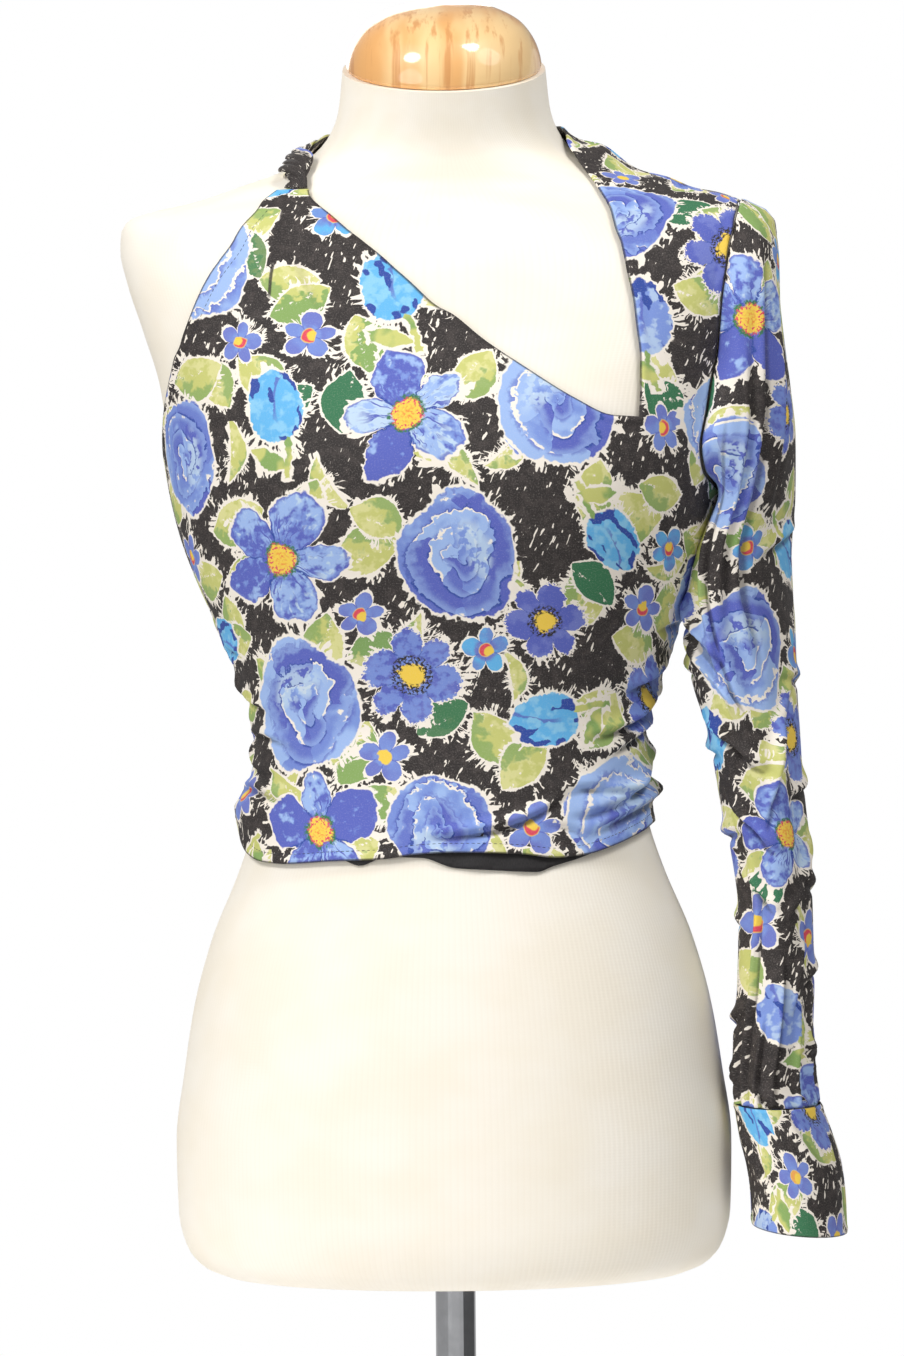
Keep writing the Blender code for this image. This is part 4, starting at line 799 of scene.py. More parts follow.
def fine_sheet(outline, pitch, per_degree):
    """Fine triangles across an outline: their places, the faces and the edge distances."""
    edge = np.array(outline) * (per_degree, 1.0)
    low, high = edge.min(axis=0), edge.max(axis=0)
    rows = np.arange(low[1] + pitch / 2, high[1], pitch * ROW_PITCH)
    across = np.arange(low[0], high[0], pitch)
    shift = (np.arange(len(rows)) % 2 * pitch / 2)[:, None]
    grid = np.stack(np.broadcast_arrays(across + shift, rows[:, None]), axis=-1).reshape(-1, 2)
    away, inside = edge_distance(grid, edge)
    points = np.concatenate([edge, grid[inside & (away > pitch * EDGE_FREE)]])
    flat = [Vector(p) for p in points]
    verts, _, faces, *_ = delaunay_2d_cdt(flat, [], [list(range(len(edge)))], 1, 1e-4)
    places = np.array([tuple(v) for v in verts])
    away, _ = edge_distance(places, edge)
    return places / (per_degree, 1.0), np.array([tuple(f) for f in faces]), away


def sheet_normals(points, faces):
    """The normal at every point of a sheet of triangles."""
    a, b, c = (points[faces[:, k]] for k in range(3))
    face_normal = np.cross(b - a, c - a)
    normals = np.zeros_like(points)
    for k in range(3):
        np.add.at(normals, faces[:, k], face_normal)
    return normals / np.maximum(np.linalg.norm(normals, axis=1, keepdims=True), 1e-12)


def placed(name, data):
    """A new object of the scene."""
    ob = bpy.data.objects.new(name, data)
    bpy.context.collection.objects.link(ob)
    return ob


def in_scene(points):
    """Points in millimetres above the underside of the body, in the scene's metres."""
    return ((np.asarray(points) + (0, 0, BODY_LIFT)) * MM).tolist()


def new_object(name, points, faces, material):
    """A smooth mesh object from points in millimetres above the underside of the body."""
    mesh = bpy.data.meshes.new(name)
    mesh.from_pydata(in_scene(points), [], [tuple(int(i) for i in face) for face in faces])
    mesh.shade_smooth()
    mesh.materials.append(material)
    return placed(name, mesh)


def put_corners(ob, name, values):
    """Store one vector for each corner of a mesh's faces."""
    layer = ob.data.attributes.new(name, "FLOAT_VECTOR", "CORNER")
    layer.data.foreach_set("vector", np.ascontiguousarray(values, dtype=np.float32).ravel())


def cloth_object(name, outside, inside, faces, cloth, marks, material, weld=None, seed=None):
    """A thin shell of cloth: outer sheet, inner sheet and rim, with its flat coordinates.

    `faces` number the flat places and `cloth` holds the flat coordinates in millimetres of
    each place.  `marks` are its distance to a dark edge, the height of the creases there,
    whose troughs the shader darkens as painted shade, and, on the front, how far it lies
    beside the tuck and how near the middle of it, by which a dark line of painted shadow is
    laid in the tuck's fold.
    `weld` gives each place its point where the piece is joined to itself, and `seed` lays
    out its print.
    """
    weld = np.arange(len(cloth)) if weld is None else weld
    columns = np.zeros((len(cloth), 5))
    for column, values in enumerate(marks):
        columns[:, column] = values
    triangles = weld[faces]
    count = len(outside)
    normals = sheet_normals(outside, triangles)
    if ((outside - inside) * normals).sum() < 0:
        faces, triangles = faces[:, ::-1], triangles[:, ::-1]
    starts, ends = faces.ravel(), np.roll(faces, -1, axis=1).ravel()
    codes = weld[starts].astype(np.int64) * count + weld[ends]
    reverse = weld[ends].astype(np.int64) * count + weld[starts]
    open_edge = ~np.isin(codes, reverse)
    a, b = starts[open_edge], ends[open_edge]
    rim_flat = np.column_stack([b, a, a, b])
    rim = np.column_stack([weld[b], weld[a], weld[a] + count, weld[b] + count])
    ob = new_object(name, np.concatenate([outside, inside]),
                    list(triangles) + list(triangles[:, ::-1] + count) + list(rim), material)
    corner = np.concatenate([faces.ravel(), faces[:, ::-1].ravel(), rim_flat.ravel()])
    is_inside = np.zeros(len(corner))
    is_inside[faces.size:2 * faces.size] = 1.0
    uv = cloth[corner]
    put_corners(ob, "cloth", np.column_stack([uv, is_inside]))
    put_corners(ob, "marks", columns[corner][:, :3])
    put_corners(ob, "tuck", columns[corner][:, 2:])
    if seed is not None:
        lay_print(ob, uv, np.array([3] * (2 * len(faces)) + [4] * len(rim)), seed)
    return ob


# ---------------------------------------------------------------- the print's layout
def scatter(low, high, seed, fullness):
    """Where each motif of the print lies on one piece of cloth, in millimetres."""
    rng = np.random.default_rng(seed)
    low, high = low - PRINT_MARGIN, high + PRINT_MARGIN
    area = (high[0] - low[0]) * (high[1] - low[1])
    taken = []
    layout = {}
    for layer, radius, per_area, packing, beside_all in MOTIF_LAYERS:
        wanted = int(round(area * per_area * fullness * 1e-5))
        own = []
        others = taken if beside_all else []
        for _ in range(wanted * MOTIF_TRIES):
            if len(own) >= wanted:
                break
            x, y = rng.uniform(low[0], high[0]), rng.uniform(low[1], high[1])
            size = radius * rng.uniform(*MOTIF_SIZES)
            if (all(math.hypot(x - q[0], y - q[1]) > size + q[2] + MOTIF_GAP for q in own)
                    and all(math.hypot(x - q[0], y - q[1]) > (size + q[2]) * packing
                            for q in others)):
                own.append((x, y, size, rng.uniform(0, 2 * math.pi), rng.uniform(0, 1)))
        taken += own if beside_all else []
        layout[layer] = own
    return layout


def lay_print(ob, uv, sizes, seed, fullness=1.0):
    """Give each face's corners their place in the motif that covers it, layer by layer."""
    low, high = uv.min(axis=0), uv.max(axis=0)
    face = np.repeat(np.arange(len(sizes)), sizes)
    for layer, motifs in scatter(low, high, seed, fullness).items():
        values = np.full((len(uv), 3), FAR_AWAY)
        for x, y, size, roll, hue in motifs:
            offset = (uv - (x, y)) / size
            near = np.hypot(*offset.T) < 1.0
            covered = np.zeros(len(sizes), dtype=bool)
            covered[face[near]] = True
            rows = covered[face]
            c, s = math.cos(roll), math.sin(roll)
            values[rows, 0] = offset[rows, 0] * c + offset[rows, 1] * s
            values[rows, 1] = offset[rows, 1] * c - offset[rows, 0] * s
            values[rows, 2] = hue
        put_corners(ob, layer, values)


def flat_grid(point, angles, ups, middle):
    """Flat cloth coordinates over a grid of a surface, by tape along its rows and columns."""
    grid = point(*np.meshgrid(angles, ups))
    up_steps = np.linalg.norm(np.diff(grid, axis=0), axis=-1)
    rise = np.concatenate([np.zeros((1, len(angles))), np.cumsum(up_steps, axis=0)])
    side_steps = np.linalg.norm(np.diff(grid, axis=1), axis=-1)
    along = np.concatenate([np.zeros((len(ups), 1)), np.cumsum(side_steps, axis=1)], axis=1)
    at_middle = np.array([np.interp(middle, angles, row) for row in along])
    return along - at_middle[:, None], rise


def read_grid(grid, angles, ups, angle, up):
    """Read a grid of values between its rows and columns."""
    col = np.clip((angle - angles[0]) / (angles[1] - angles[0]), 0, len(angles) - 1.001)
    row = np.clip((up - ups[0]) / (ups[1] - ups[0]), 0, len(ups) - 1.001)
    i, j = row.astype(int), col.astype(int)
    t, s = row - i, col - j
    return ((grid[i, j] * (1 - s) + grid[i, j + 1] * s) * (1 - t)
            + (grid[i + 1, j] * (1 - s) + grid[i + 1, j + 1] * s) * t)


# ================================================================ the pieces
def body_panel(name, outline, middle, seed, material):
    """The front or the back, cut to an outline of angles and levels."""
    places, faces, away = fine_sheet(outline, CLOTH_PITCH, PER_DEGREE)
    angle, up = places.T
    height = body_height(angle, up, away)
    aside, share = tuck_distance(angle, up)
    marks = (np.where(up > TWIST_ROWS[0][2] - TWIST_ROOT, FAR_AWAY, away),
             body_creases(angle, up), aside, np.clip(4 * share * (1 - share), 0, 1))
    angles = np.arange(middle - PANEL_HALF, middle + PANEL_HALF + 1, PANEL_STEP)
    cloth = np.column_stack([read_grid(grid, angles, PANEL_UPS, angle, up)
                             for grid in flat_grid(form_point, angles, PANEL_UPS, middle)])
    return cloth_object(name, off_form(angle, up, height), off_form(angle, up, height - THIN),
                        faces, cloth, marks, material, seed=seed)


def panel_outline(hem, edges, seam, turns):
    """A panel's closed edge: hem, bare side's seam, the edges over its top, shoulder seam,
    armhole and the sleeve side's seam, which lies at the angle `seam`.
    """
    lines = (hem, (hem[-1], edges[0][0]), *edges, (edges[-1][-1], (seam, SHOULDER_UP)),
             ((seam, UNDERARM_UP), hem[0]))
    *lines, underarm_seam = (smooth_line(line, EDGE_PITCH) for line in lines)
    armhole = zip(ARMHOLE.read("angle", turns) + seam, ARMHOLE.read("up", turns))
    low, high = sorted((seam, hem[-1][0]))
    return [(min(max(a, low + SEAM_ANGLE), high - SEAM_ANGLE), u)
            for a, u in joined(*lines, armhole, underarm_seam)]


def front_outline():
    """The front's edge, over the twist, the notch and the neck."""
    edges = (FRONT_BARE_EDGE[::-1], (FRONT_BARE_EDGE[0], NOTCH_EDGE[-1]), NOTCH_EDGE[::-1],
             NECK_EDGE[::-1])
    return panel_outline(FRONT_HEM, edges, 0, np.linspace(0, 180, ARMHOLE_POINTS))


def back_outline():
    """The back's edge, cut in round the bare arm."""
    edges = (BACK_BARE_EDGE, (BACK_BARE_EDGE[-1], BACK_NECKLINE[0]), BACK_NECKLINE)
    return panel_outline(BACK_HEM[::-1], edges, 360, np.linspace(360, 180, ARMHOLE_POINTS))


def make_lining(material):
    """The black lining that hangs out below the front hem."""
    first, last = LINING_HEM[0], LINING_HEM[-1]
    top_last, top_first = (last[0], LINING_TOP_UP), (first[0], LINING_TOP_UP)
    lines = (LINING_HEM, (last, top_last), (top_last, top_first), (top_first, first))
    places, faces, away = fine_sheet(joined(*(smooth_line(line, EDGE_PITCH) for line in lines)),
                                     CLOTH_PITCH, PER_DEGREE)
    angle, up = places.T
    wave = (LINING_WAVE * np.sin(angle * LINING_WAVE_PACE)
            * np.clip((LINING_TOP_UP - up) / LINING_WAVE_RISE, 0, 1))
    height = LINING_EASE - LINING_CLOSER + wave
    return cloth_object("front_lining", off_form(angle, up, height),
                        off_form(angle, up, height - LINING_WALL), faces,
                        places * (PER_DEGREE, 1.0), (away,), material)


def make_sleeve(material):
    """The sleeve, joined along the underarm, from the armhole to the seam of the cuff."""
    turns = np.linspace(0, 180, ARMHOLE_POINTS)
    _, front_turn, front_down = armhole_seat(turns)
    _, back_turn, back_down = armhole_seat(360 - turns)
    back_turn = back_turn - back_turn[-1] + front_turn[-1] - 360
    under, top, end = front_turn[-1], front_down[-1], SLEEVE_ROWS[-1][0]
    rows = np.linspace(top, end, int((end - top) / EDGE_PITCH) + 1)
    across = np.linspace(under - 360, under, int(360 * PER_TURN / EDGE_PITCH) + 1)
    outline = joined([(under, d) for d in rows[::-1]],
                     list(zip(front_turn, front_down))[::-1],
                     list(zip(back_turn, back_down)),
                     [(under - 360, d) for d in rows],
                     [(t, end) for t in across])
    places, faces, _ = fine_sheet(outline, CLOTH_PITCH, PER_TURN)
    turn, down = places.T
    on_left = np.abs(turn - under) < SAME_PLACE
    on_right = np.abs(turn - under + 360) < SAME_PLACE
    left = {round(down[i], 2): i for i in np.flatnonzero(on_left)}
    merged = np.arange(len(places))
    for i in np.flatnonzero(on_right):
        merged[i] = left[round(down[i], 2)]
    kept, weld = np.unique(merged, return_inverse=True)
    outside = sleeve_surface(turn[kept], down[kept])
    normals = sheet_normals(outside, weld[faces])
    outwards = np.sign((normals[:, 0] * np.cos(np.radians(turn[kept]))).sum())
    across = np.arange(under - 360 - SLEEVE_PAST, under + SLEEVE_PAST + 1, SLEEVE_TURN_STEP)
    downs = np.arange(0.0, end + SLEEVE_DOWN_STEP, SLEEVE_DOWN_STEP)
    along, _ = flat_grid(lambda a, b: arm_ring(SLEEVE, a, b), across, downs, under - 180)
    cloth = np.column_stack([read_grid(along, across, downs, turn, down), -down])
    return cloth_object("sleeve", outside, outside - normals * outwards * THIN, faces, cloth,
                        (FAR_AWAY, sleeve_creases(turn, down)), material, weld, SLEEVE_SEED)


def grid_faces(rings, sides, closed):
    """Triangles between neighbouring rings of a grid of points."""
    r, k = np.meshgrid(np.arange(rings - 1), np.arange(sides if closed else sides - 1),
                       indexing="ij")
    a, b = (r * sides + k).ravel(), (r * sides + (k + 1) % sides).ravel()
    return np.concatenate([np.column_stack([a, b, b + sides]),
                           np.column_stack([a, b + sides, a + sides])])


def closed_shape(rings):
    """Points and outward faces of a closed shape, from its rings and the middles of its ends."""
    count, sides = rings.shape[:2]
    ends = [rings[0].mean(axis=0), rings[-1].mean(axis=0)]
    points = np.concatenate([rings.reshape(-1, 3), ends])
    k = np.arange(sides)
    after, last = (k + 1) % sides, (count - 1) * sides
    faces = np.concatenate([
        grid_faces(count, sides, closed=True),
        np.column_stack([after, k, np.full_like(k, len(points) - 2)]),
        np.column_stack([k + last, after + last, np.full_like(k, len(points) - 1)])])
    a, b, c = (points[faces[:, i]] for i in range(3))
    volume = ((a - points.mean(axis=0)) * np.cross(b - a, c - a)).sum()
    return points, faces if volume > 0 else faces[:, ::-1]


def carried_on(corners, whole):
    """Values round a closed shape, carried on past the join on the faces that span it."""
    spans = np.ptp(corners, axis=1, keepdims=True) > whole / 2
    return np.where(spans & (corners < whole / 2), corners + whole, corners)


def make_cuff(material):
    """The cuff, a band whose outer end laps over its inner end."""
    sweep, depth = 360.0 + CUFF_OVERLAP, CUFF_ROWS[-1][0]
    sides, rings = int(sweep * PER_TURN / CLOTH_PITCH), int(depth / CLOTH_PITCH)
    turn, down = np.meshgrid(CUFF_END_TURN - np.linspace(0, sweep, sides),
                             np.linspace(0, depth, rings))
    points = arm_ring(CUFF, turn, down)
    share = np.clip((sweep - (CUFF_END_TURN - turn)) / CUFF_OVERLAP - 1, 0, 1)
    over = (1 - share) ** 2 * (3 - 2 * (1 - share)) * (THIN + CUFF_LAP_GAP)
    normal = np.cross(np.gradient(points, axis=0), np.gradient(points, axis=1))
    normal /= np.linalg.norm(normal, axis=-1, keepdims=True)
    away = np.minimum(down, depth - down)
    roll = CUFF_ROLL * np.exp(-((away - CUFF_ROLL_IN) / CUFF_ROLL_HALF) ** 2)
    fine = crease_height(turn * PER_TURN, down, CUFF_CREASES, -1) + roll
    outside = moved_clear(points) + normal * (CLOTH + fine + over)[..., None]
    inside = outside - normal * THIN
    cloth = np.column_stack([turn.ravel() * PER_TURN, -down.ravel()])
    marks = ((depth - down).ravel(), (fine - roll).ravel())
    return cloth_object("cuff", outside.reshape(-1, 3), inside.reshape(-1, 3),
                        grid_faces(rings, sides, closed=False), cloth, marks, material,
                        seed=CUFF_SEED)


def make_twist(material):
    """The strap where front and back are twisted together over the bare shoulder."""
    length = TWIST_ROWS[-1][0]
    rings = np.linspace(0, length, FINE_TWIST_RINGS)
    angle, up = TWIST.read("angle", rings), TWIST.read("up", rings)
    half_width, half_thick = TWIST.read("half_width", rings), TWIST.read("half_thick", rings)
    normal = form_normal(angle, up)
    centre = off_form(angle, up, TWIST_CLEARANCE + half_thick * (1 + TWIST_LOBE))
    tangent = np.gradient(centre, axis=0)
    tangent /= np.linalg.norm(tangent, axis=1, keepdims=True)
    across = np.cross(tangent, normal)
    across /= np.linalg.norm(across, axis=1, keepdims=True)
    turn = np.arange(FINE_TWIST_SIDES) * 2 * math.pi / FINE_TWIST_SIDES
    roll = (2 * math.pi * TWIST_TURNS * rings / length)[:, None]
    thick = np.minimum(1, half_thick / TWIST_FULL)[:, None]
    lobe = 1 + TWIST_LOBE * np.cos(2 * (turn - roll)) * thick
    groove = np.zeros_like(lobe)
    for place, depth, narrow in TWIST_GROOVES:
        aside = np.sin((turn - roll) / 2 - place / 2)
        groove = groove + depth * np.exp(-(aside / narrow) ** 2)
    groove = groove * thick
    lobe = lobe - groove
    points, faces = closed_shape(
        centre[:, None]
        + across[:, None] * (half_width[:, None] * lobe * np.cos(turn))[..., None]
        + normal[:, None] * (half_thick[:, None] * lobe * np.sin(turn))[..., None])
    ob = new_object("shoulder_twist", points, faces, material)
    sides = np.arange(FINE_TWIST_SIDES)
    round_it = np.concatenate([np.tile(sides, FINE_TWIST_RINGS), [0, 0]])
    along = np.concatenate([np.repeat(rings, FINE_TWIST_SIDES), [0.0, length]])[faces].ravel()
    round_it = carried_on((round_it * TWIST_GIRTH / FINE_TWIST_SIDES)[faces], TWIST_GIRTH)
    slant = TWIST_GIRTH * TWIST_TURNS / length
    uv = np.column_stack([(round_it.ravel() - along * slant) * TWIST_SQUEEZE, along])
    none = np.zeros(faces.size)
    # The grooves' depth is stored with the marks, so the shader paints shade in them as it does
    # in creases.
    depth = np.concatenate([groove.ravel() * -TWIST_GROOVE_DEPTH, [0.0, 0.0]])[faces].ravel()
    put_corners(ob, "cloth", np.column_stack([uv, none]))
    put_corners(ob, "marks", np.column_stack([none + FAR_AWAY, depth, none]))
    lay_print(ob, uv, np.full(len(faces), 3), TWIST_SEED, TWIST_FULLNESS)
    return ob


def make_form_body(material):
    """The form's body and neck in fine jersey, with the pole's socket in its underside."""
    angles = np.arange(FINE_FORM_SIDES) * 360.0 / FINE_FORM_SIDES
    ups = np.concatenate([FORM_FOOT_UPS,
                          np.linspace(FORM_ROWS_FROM, FORM_ROWS[-1][0], FINE_FORM_ROWS)])
    grid = form_point(*np.meshgrid(angles, ups))
    radius = POLE_RADIUS + SEAM_GAP
    radians = np.radians(angles)
    hole = np.stack([radius * np.cos(radians), -radius * np.sin(radians), 0 * radians], -1)
    top = hole + (0, 0, POLE_SOCKET + SEAM_GAP)
    points, faces = closed_shape(np.concatenate([top[None], hole[None], grid]))
    ob = new_object("dress_form_body", points, faces, material)
    ob.data.set_sharp_from_angle(angle=math.radians(SHARP_ANGLE))
    levels = np.concatenate([[0, 0], ups])
    girth = PER_DEGREE * np.concatenate([np.tile(angles, len(levels)), [0, 0]])
    height = np.concatenate([np.repeat(levels, FINE_FORM_SIDES), [0, ups[-1]]])
    girth = carried_on(girth[faces], 360 * PER_DEGREE)
    put_corners(ob, "knit", np.column_stack([girth.ravel(), height[faces].ravel(),
                                             np.zeros(faces.size)]))
    return ob


def make_cap(material):
    """The turned pine cap that closes the neck, tilted as the neck is."""
    level = dict(zip(FORM_COLUMNS, FORM_ROWS[-1]))
    middle = np.array([0.0, (level["front_y"] + level["back_y"]) / 2,
                       (level["front_z"] + level["back_z"]) / 2])
    slope = (level["back_z"] - level["front_z"]) / (level["back_y"] - level["front_y"])
    length = math.hypot(1.0, slope)
    side = np.array([1.0, 0.0, 0.0])
    back = np.array([0.0, 1.0, slope]) / length
    rise = np.array([0.0, -slope, 1.0]) / length
    profile = Curves(("step", *CAP_COLUMNS), [(i, *row) for i, row in enumerate(CAP_ROWS)])
    steps = np.linspace(0, len(CAP_ROWS) - 1, FINE_CAP_ROWS)
    across, height = profile.read("across", steps), profile.read("rise", steps)
    turn = np.arange(FINE_CAP_SIDES) * 2 * math.pi / FINE_CAP_SIDES
    points, faces = closed_shape(
        middle + (CAP_HALF_WIDTH * across[:, None] * np.cos(turn))[..., None] * side
        - (CAP_HALF_DEPTH * across[:, None] * np.sin(turn))[..., None] * back
        + ((height + SEAM_GAP * 2)[:, None] * np.ones_like(turn))[..., None] * rise)
    ob = new_object("neck_cap", points, faces, material)
    ob.data.set_sharp_from_angle(angle=math.radians(SHARP_ANGLE))
    return ob


# ================================================================ shader wiring
def srgb(red, green, blue):
    """A colour as seen, each part 0 to 255, brought to the linear values of a shader."""
    seen = np.array((red, green, blue)) / 255.0
    linear = np.where(seen > 0.04045, ((seen + 0.055) / 1.055) ** 2.4, seen / 12.92)
    return (*(float(v) for v in linear), 1.0)


class Wire:
    """A number in a node tree; arithmetic on it adds Math nodes."""

    def __init__(self, tree, socket):
        self.tree, self.socket = tree, socket

    def __add__(self, other):
        return math_node(self.tree, "ADD", self, other)

    __radd__ = __add__

    def __sub__(self, other):
        return math_node(self.tree, "SUBTRACT", self, other)

    def __rsub__(self, other):
        return math_node(self.tree, "SUBTRACT", other, self)

    def __mul__(self, other):
        return math_node(self.tree, "MULTIPLY", self, other)

    __rmul__ = __mul__

    def __truediv__(self, other):
        return math_node(self.tree, "DIVIDE", self, other)

    def __pow__(self, other):
        return math_node(self.tree, "POWER", self, other)

    def __abs__(self):
        return math_node(self.tree, "ABSOLUTE", self)


def wire_up(tree, slot, value):
    """Feed a socket from a wire, or set it to a constant."""
    if isinstance(value, Wire):
        tree.links.new(value.socket, slot)
    else:
        slot.default_value = value


def from_node(tree, kind, output, inputs=None, **settings):
    """One output of a new node, with its settings made and its inputs wired or set."""
    node = tree.nodes.new(kind)
    for name, value in settings.items():
        setattr(node, name, value)
    for name, value in (inputs or {}).items():
        wire_up(tree, node.inputs[name], value)
    return Wire(tree, node.outputs[output])


def math_node(tree, operation, *values):
    return from_node(tree, "ShaderNodeMath", 0, dict(enumerate(values)), operation=operation)


def cosine(value):
    return math_node(value.tree, "COSINE", value)


def least(a, b):
    return math_node(a.tree, "MINIMUM", a, b)


def most(a, b):
    return math_node(a.tree, "MAXIMUM", a, b)


def length_of(x, y):
    return math_node(x.tree, "SQRT", x * x + y * y)


def bearing(x, y):
    return math_node(x.tree, "ARCTAN2", y, x)


def ramp(value, start, stop):
    """0 before the start, 1 past the stop, smooth between them; either way round."""
    before, after = (1.0, 0.0) if start > stop else (0.0, 1.0)
    inputs = {"Value": value, "From Min": min(start, stop), "From Max": max(start, stop),
              "To Min": before, "To Max": after}
    return from_node(value.tree, "ShaderNodeMapRange", "Result", inputs,
                     interpolation_type="SMOOTHSTEP")


def mixed(factor, below, above):
    """One colour over another by a mask."""
    return from_node(factor.tree, "ShaderNodeMix", 2, {0: factor, 6: below, 7: above},
                     data_type="RGBA")


def split(vector):
    node = vector.tree.nodes.new("ShaderNodeSeparateXYZ")
    wire_up(vector.tree, node.inputs[0], vector)
    return tuple(Wire(vector.tree, out) for out in node.outputs)


def vector_of(x, y, z=0.0):
    return from_node(x.tree, "ShaderNodeCombineXYZ", 0, {0: x, 1: y, 2: z})


def noise(vector, scale, detail=2.0, roughness=0.5):
    """Smooth noise from 0 to 1 at places given in millimetres or the motif's own units."""
    return from_node(vector.tree, "ShaderNodeTexNoise", 0,
                     {"Vector": vector, "Scale": scale, "Detail": detail,
                      "Roughness": roughness})


def attribute(tree, name):
    """A vector stored on the mesh."""
    return from_node(tree, "ShaderNodeAttribute", "Vector", attribute_name=name)


def own_place(tree):
    """The place on the object itself, in metres."""
    return from_node(tree, "ShaderNodeTexCoord", "Object")


def camera_ray(tree):
    """1 for what the camera sees straight, 0 for what is mirrored or gives light."""
    return from_node(tree, "ShaderNodeLightPath", "Is Camera Ray")


def bump(height, strength, distance):
    """A normal bent by a height, for a shader's Normal socket."""
    return from_node(height.tree, "ShaderNodeBump", "Normal",
                     {"Strength": strength, "Distance": distance, "Height": height})


def new_material(name, roughness, metallic=0.0):
    """A material with its tree and its Principled shader."""
    material = bpy.data.materials.new(name)
    material.use_nodes = True
    tree = material.node_tree
    shader = tree.nodes["Principled BSDF"]
    dress_shader(tree, shader, {"Roughness": roughness, "Metallic": metallic})
    return material, tree, shader


def dress_shader(tree, shader, inputs):
    """Wire or set inputs of a shader by their names."""
    for name, value in inputs.items():
        wire_up(tree, shader.inputs[name], value)


# ================================================================ the print
GROUND = srgb(44, 38, 37)
GROUND_LIGHT = srgb(60, 53, 51)
CREAM = srgb(246, 237, 224)
ROYAL = srgb(88, 100, 188)
PERIWINKLE = srgb(122, 148, 216)
SOFT_BLUE = srgb(158, 186, 234)
WATER_BLUE = srgb(192, 214, 236)
VIOLET = srgb(110, 122, 198)
SKY = srgb(98, 180, 232)
SKY_PALE = srgb(150, 208, 238)
DEEP_BLUE = srgb(44, 74, 160)
LIME = srgb(202, 203, 118)
LIME_PALE = srgb(220, 217, 148)
LEAF_GREEN = srgb(136, 168, 94)
DEEP_GREEN = srgb(52, 116, 78)
YELLOW = srgb(246, 208, 78)
ORANGE = srgb(238, 140, 60)
ROSE_RED = srgb(224, 72, 92)
QUARTER_TURN = 1.571
PER_TURN_ROUND = 0.159155  # a turn for each radian
PETAL_UNEVEN = 0.14        # radians by which the petals of a ring differ in width
EDGE_SOFT = 0.01           # half the width of a painted edge, in shares of the radius
# Each kind of motif's own name and the width of the cream line left round it, likewise.
RESERVES = {"leaf": ("Painted leaf", 0.075), "tulip": ("Painted tulip", 0.042),
            "flat": ("Painted flat flower", 0.048), "small": ("Painted small flower", 0.075),
            "wide": ("Painted wide flower", 0.036), "rose": ("Painted rose", 0.036)}
# The noises on the cloth: scale on a millimetre, detail and roughness.
BRUSH = (0.17, 2.0, 0.55)
FINE = (0.62, 2.0, 0.6)
MOTTLE = (0.055, 2.0, 0.5)
GRAIN = (2.6, 2.0, 0.6)
YARN = (1.1, 1.0, 0.5)


def motif_group(name, paint, reserve):
    """A shader group that paints one kind of motif, in its cream reserve, over a colour.

    `paint` gives the signed distance to the motif's edge and its colour; `reserve` is the
    width of the cream line left round it, in shares of the motif's radius.
    """
    tree = bpy.data.node_groups.new(name, "ShaderNodeTree")
    for label, kind in (("Under", "NodeSocketColor"), ("Place", "NodeSocketVector"),
                        ("Brush", "NodeSocketFloat"), ("Fine", "NodeSocketFloat"),
                        ("Mottle", "NodeSocketFloat")):
        tree.interface.new_socket(label, in_out="INPUT", socket_type=kind)
    tree.interface.new_socket("Colour", in_out="OUTPUT", socket_type="NodeSocketColor")
    start = tree.nodes.new("NodeGroupInput")
    end = tree.nodes.new("NodeGroupOutput")
    under, place, brush, fine, mottle = (Wire(tree, start.outputs[n]) for n in range(5))
    x, y, hue = split(place)
    x = x + (brush - 0.5) * 0.16
    y = y + (mottle - 0.5) * 0.2
    outside, colour = paint(x, y, hue, brush, fine, mottle)
    radius, angle = length_of(x, y), bearing(x, y)
    hair = noise(vector_of(cosine(angle) * 6.0, cosine(angle - QUARTER_TURN) * 6.0,
                           radius * 1.6 + hue * 9.0), 1.5, 1.5, 0.6)
    burst = ramp(mottle, 0.45, 0.56)
    spread = ramp(hair, 0.46, 0.66) * (burst * 4.2 + 0.7) + ramp(brush, 0.35, 0.65) + 0.5
    ragged = (fine - 0.5) * reserve * 0.5
    cover = within(outside + ragged - spread * reserve)
    filled = within(outside - ragged + (hair - 0.45) * burst * reserve * 1.6)
    painted = mixed(filled, CREAM, colour)
    wire_up(tree, end.inputs["Colour"], mixed(cover, under, painted))
    return tree


def within(outside):
    """1 inside an edge and 0 outside it, from the distance outside it."""
    return ramp(outside, EDGE_SOFT, -EDGE_SOFT)


def petals(x, y, hue, count, core, reach, sharp):
    """Distance outside a ring of petals, the radius, the bearing and the petal share."""
    radius, angle = length_of(x, y), bearing(x, y)
    uneven = cosine(angle * 2.0 + hue * 9.0) * PETAL_UNEVEN
    lobe = abs(cosine(angle * (count / 2) + hue * 3.0 + uneven * (count / 2))) ** sharp
    return radius - (lobe * reach + core), radius, angle, lobe


def chance(step, seed):
    """A value from about 0.25 to 0.75 that stays the same over a whole step."""
    return noise(vector_of(step * 3.7 + 0.4, seed * 9.0, seed * 5.0 + 0.7), 1.0, 0.0)


def floored(value):
    return math_node(value.tree, "FLOOR", value)


def wrapped(value, count):
    return math_node(value.tree, "FLOORED_MODULO", value, count)


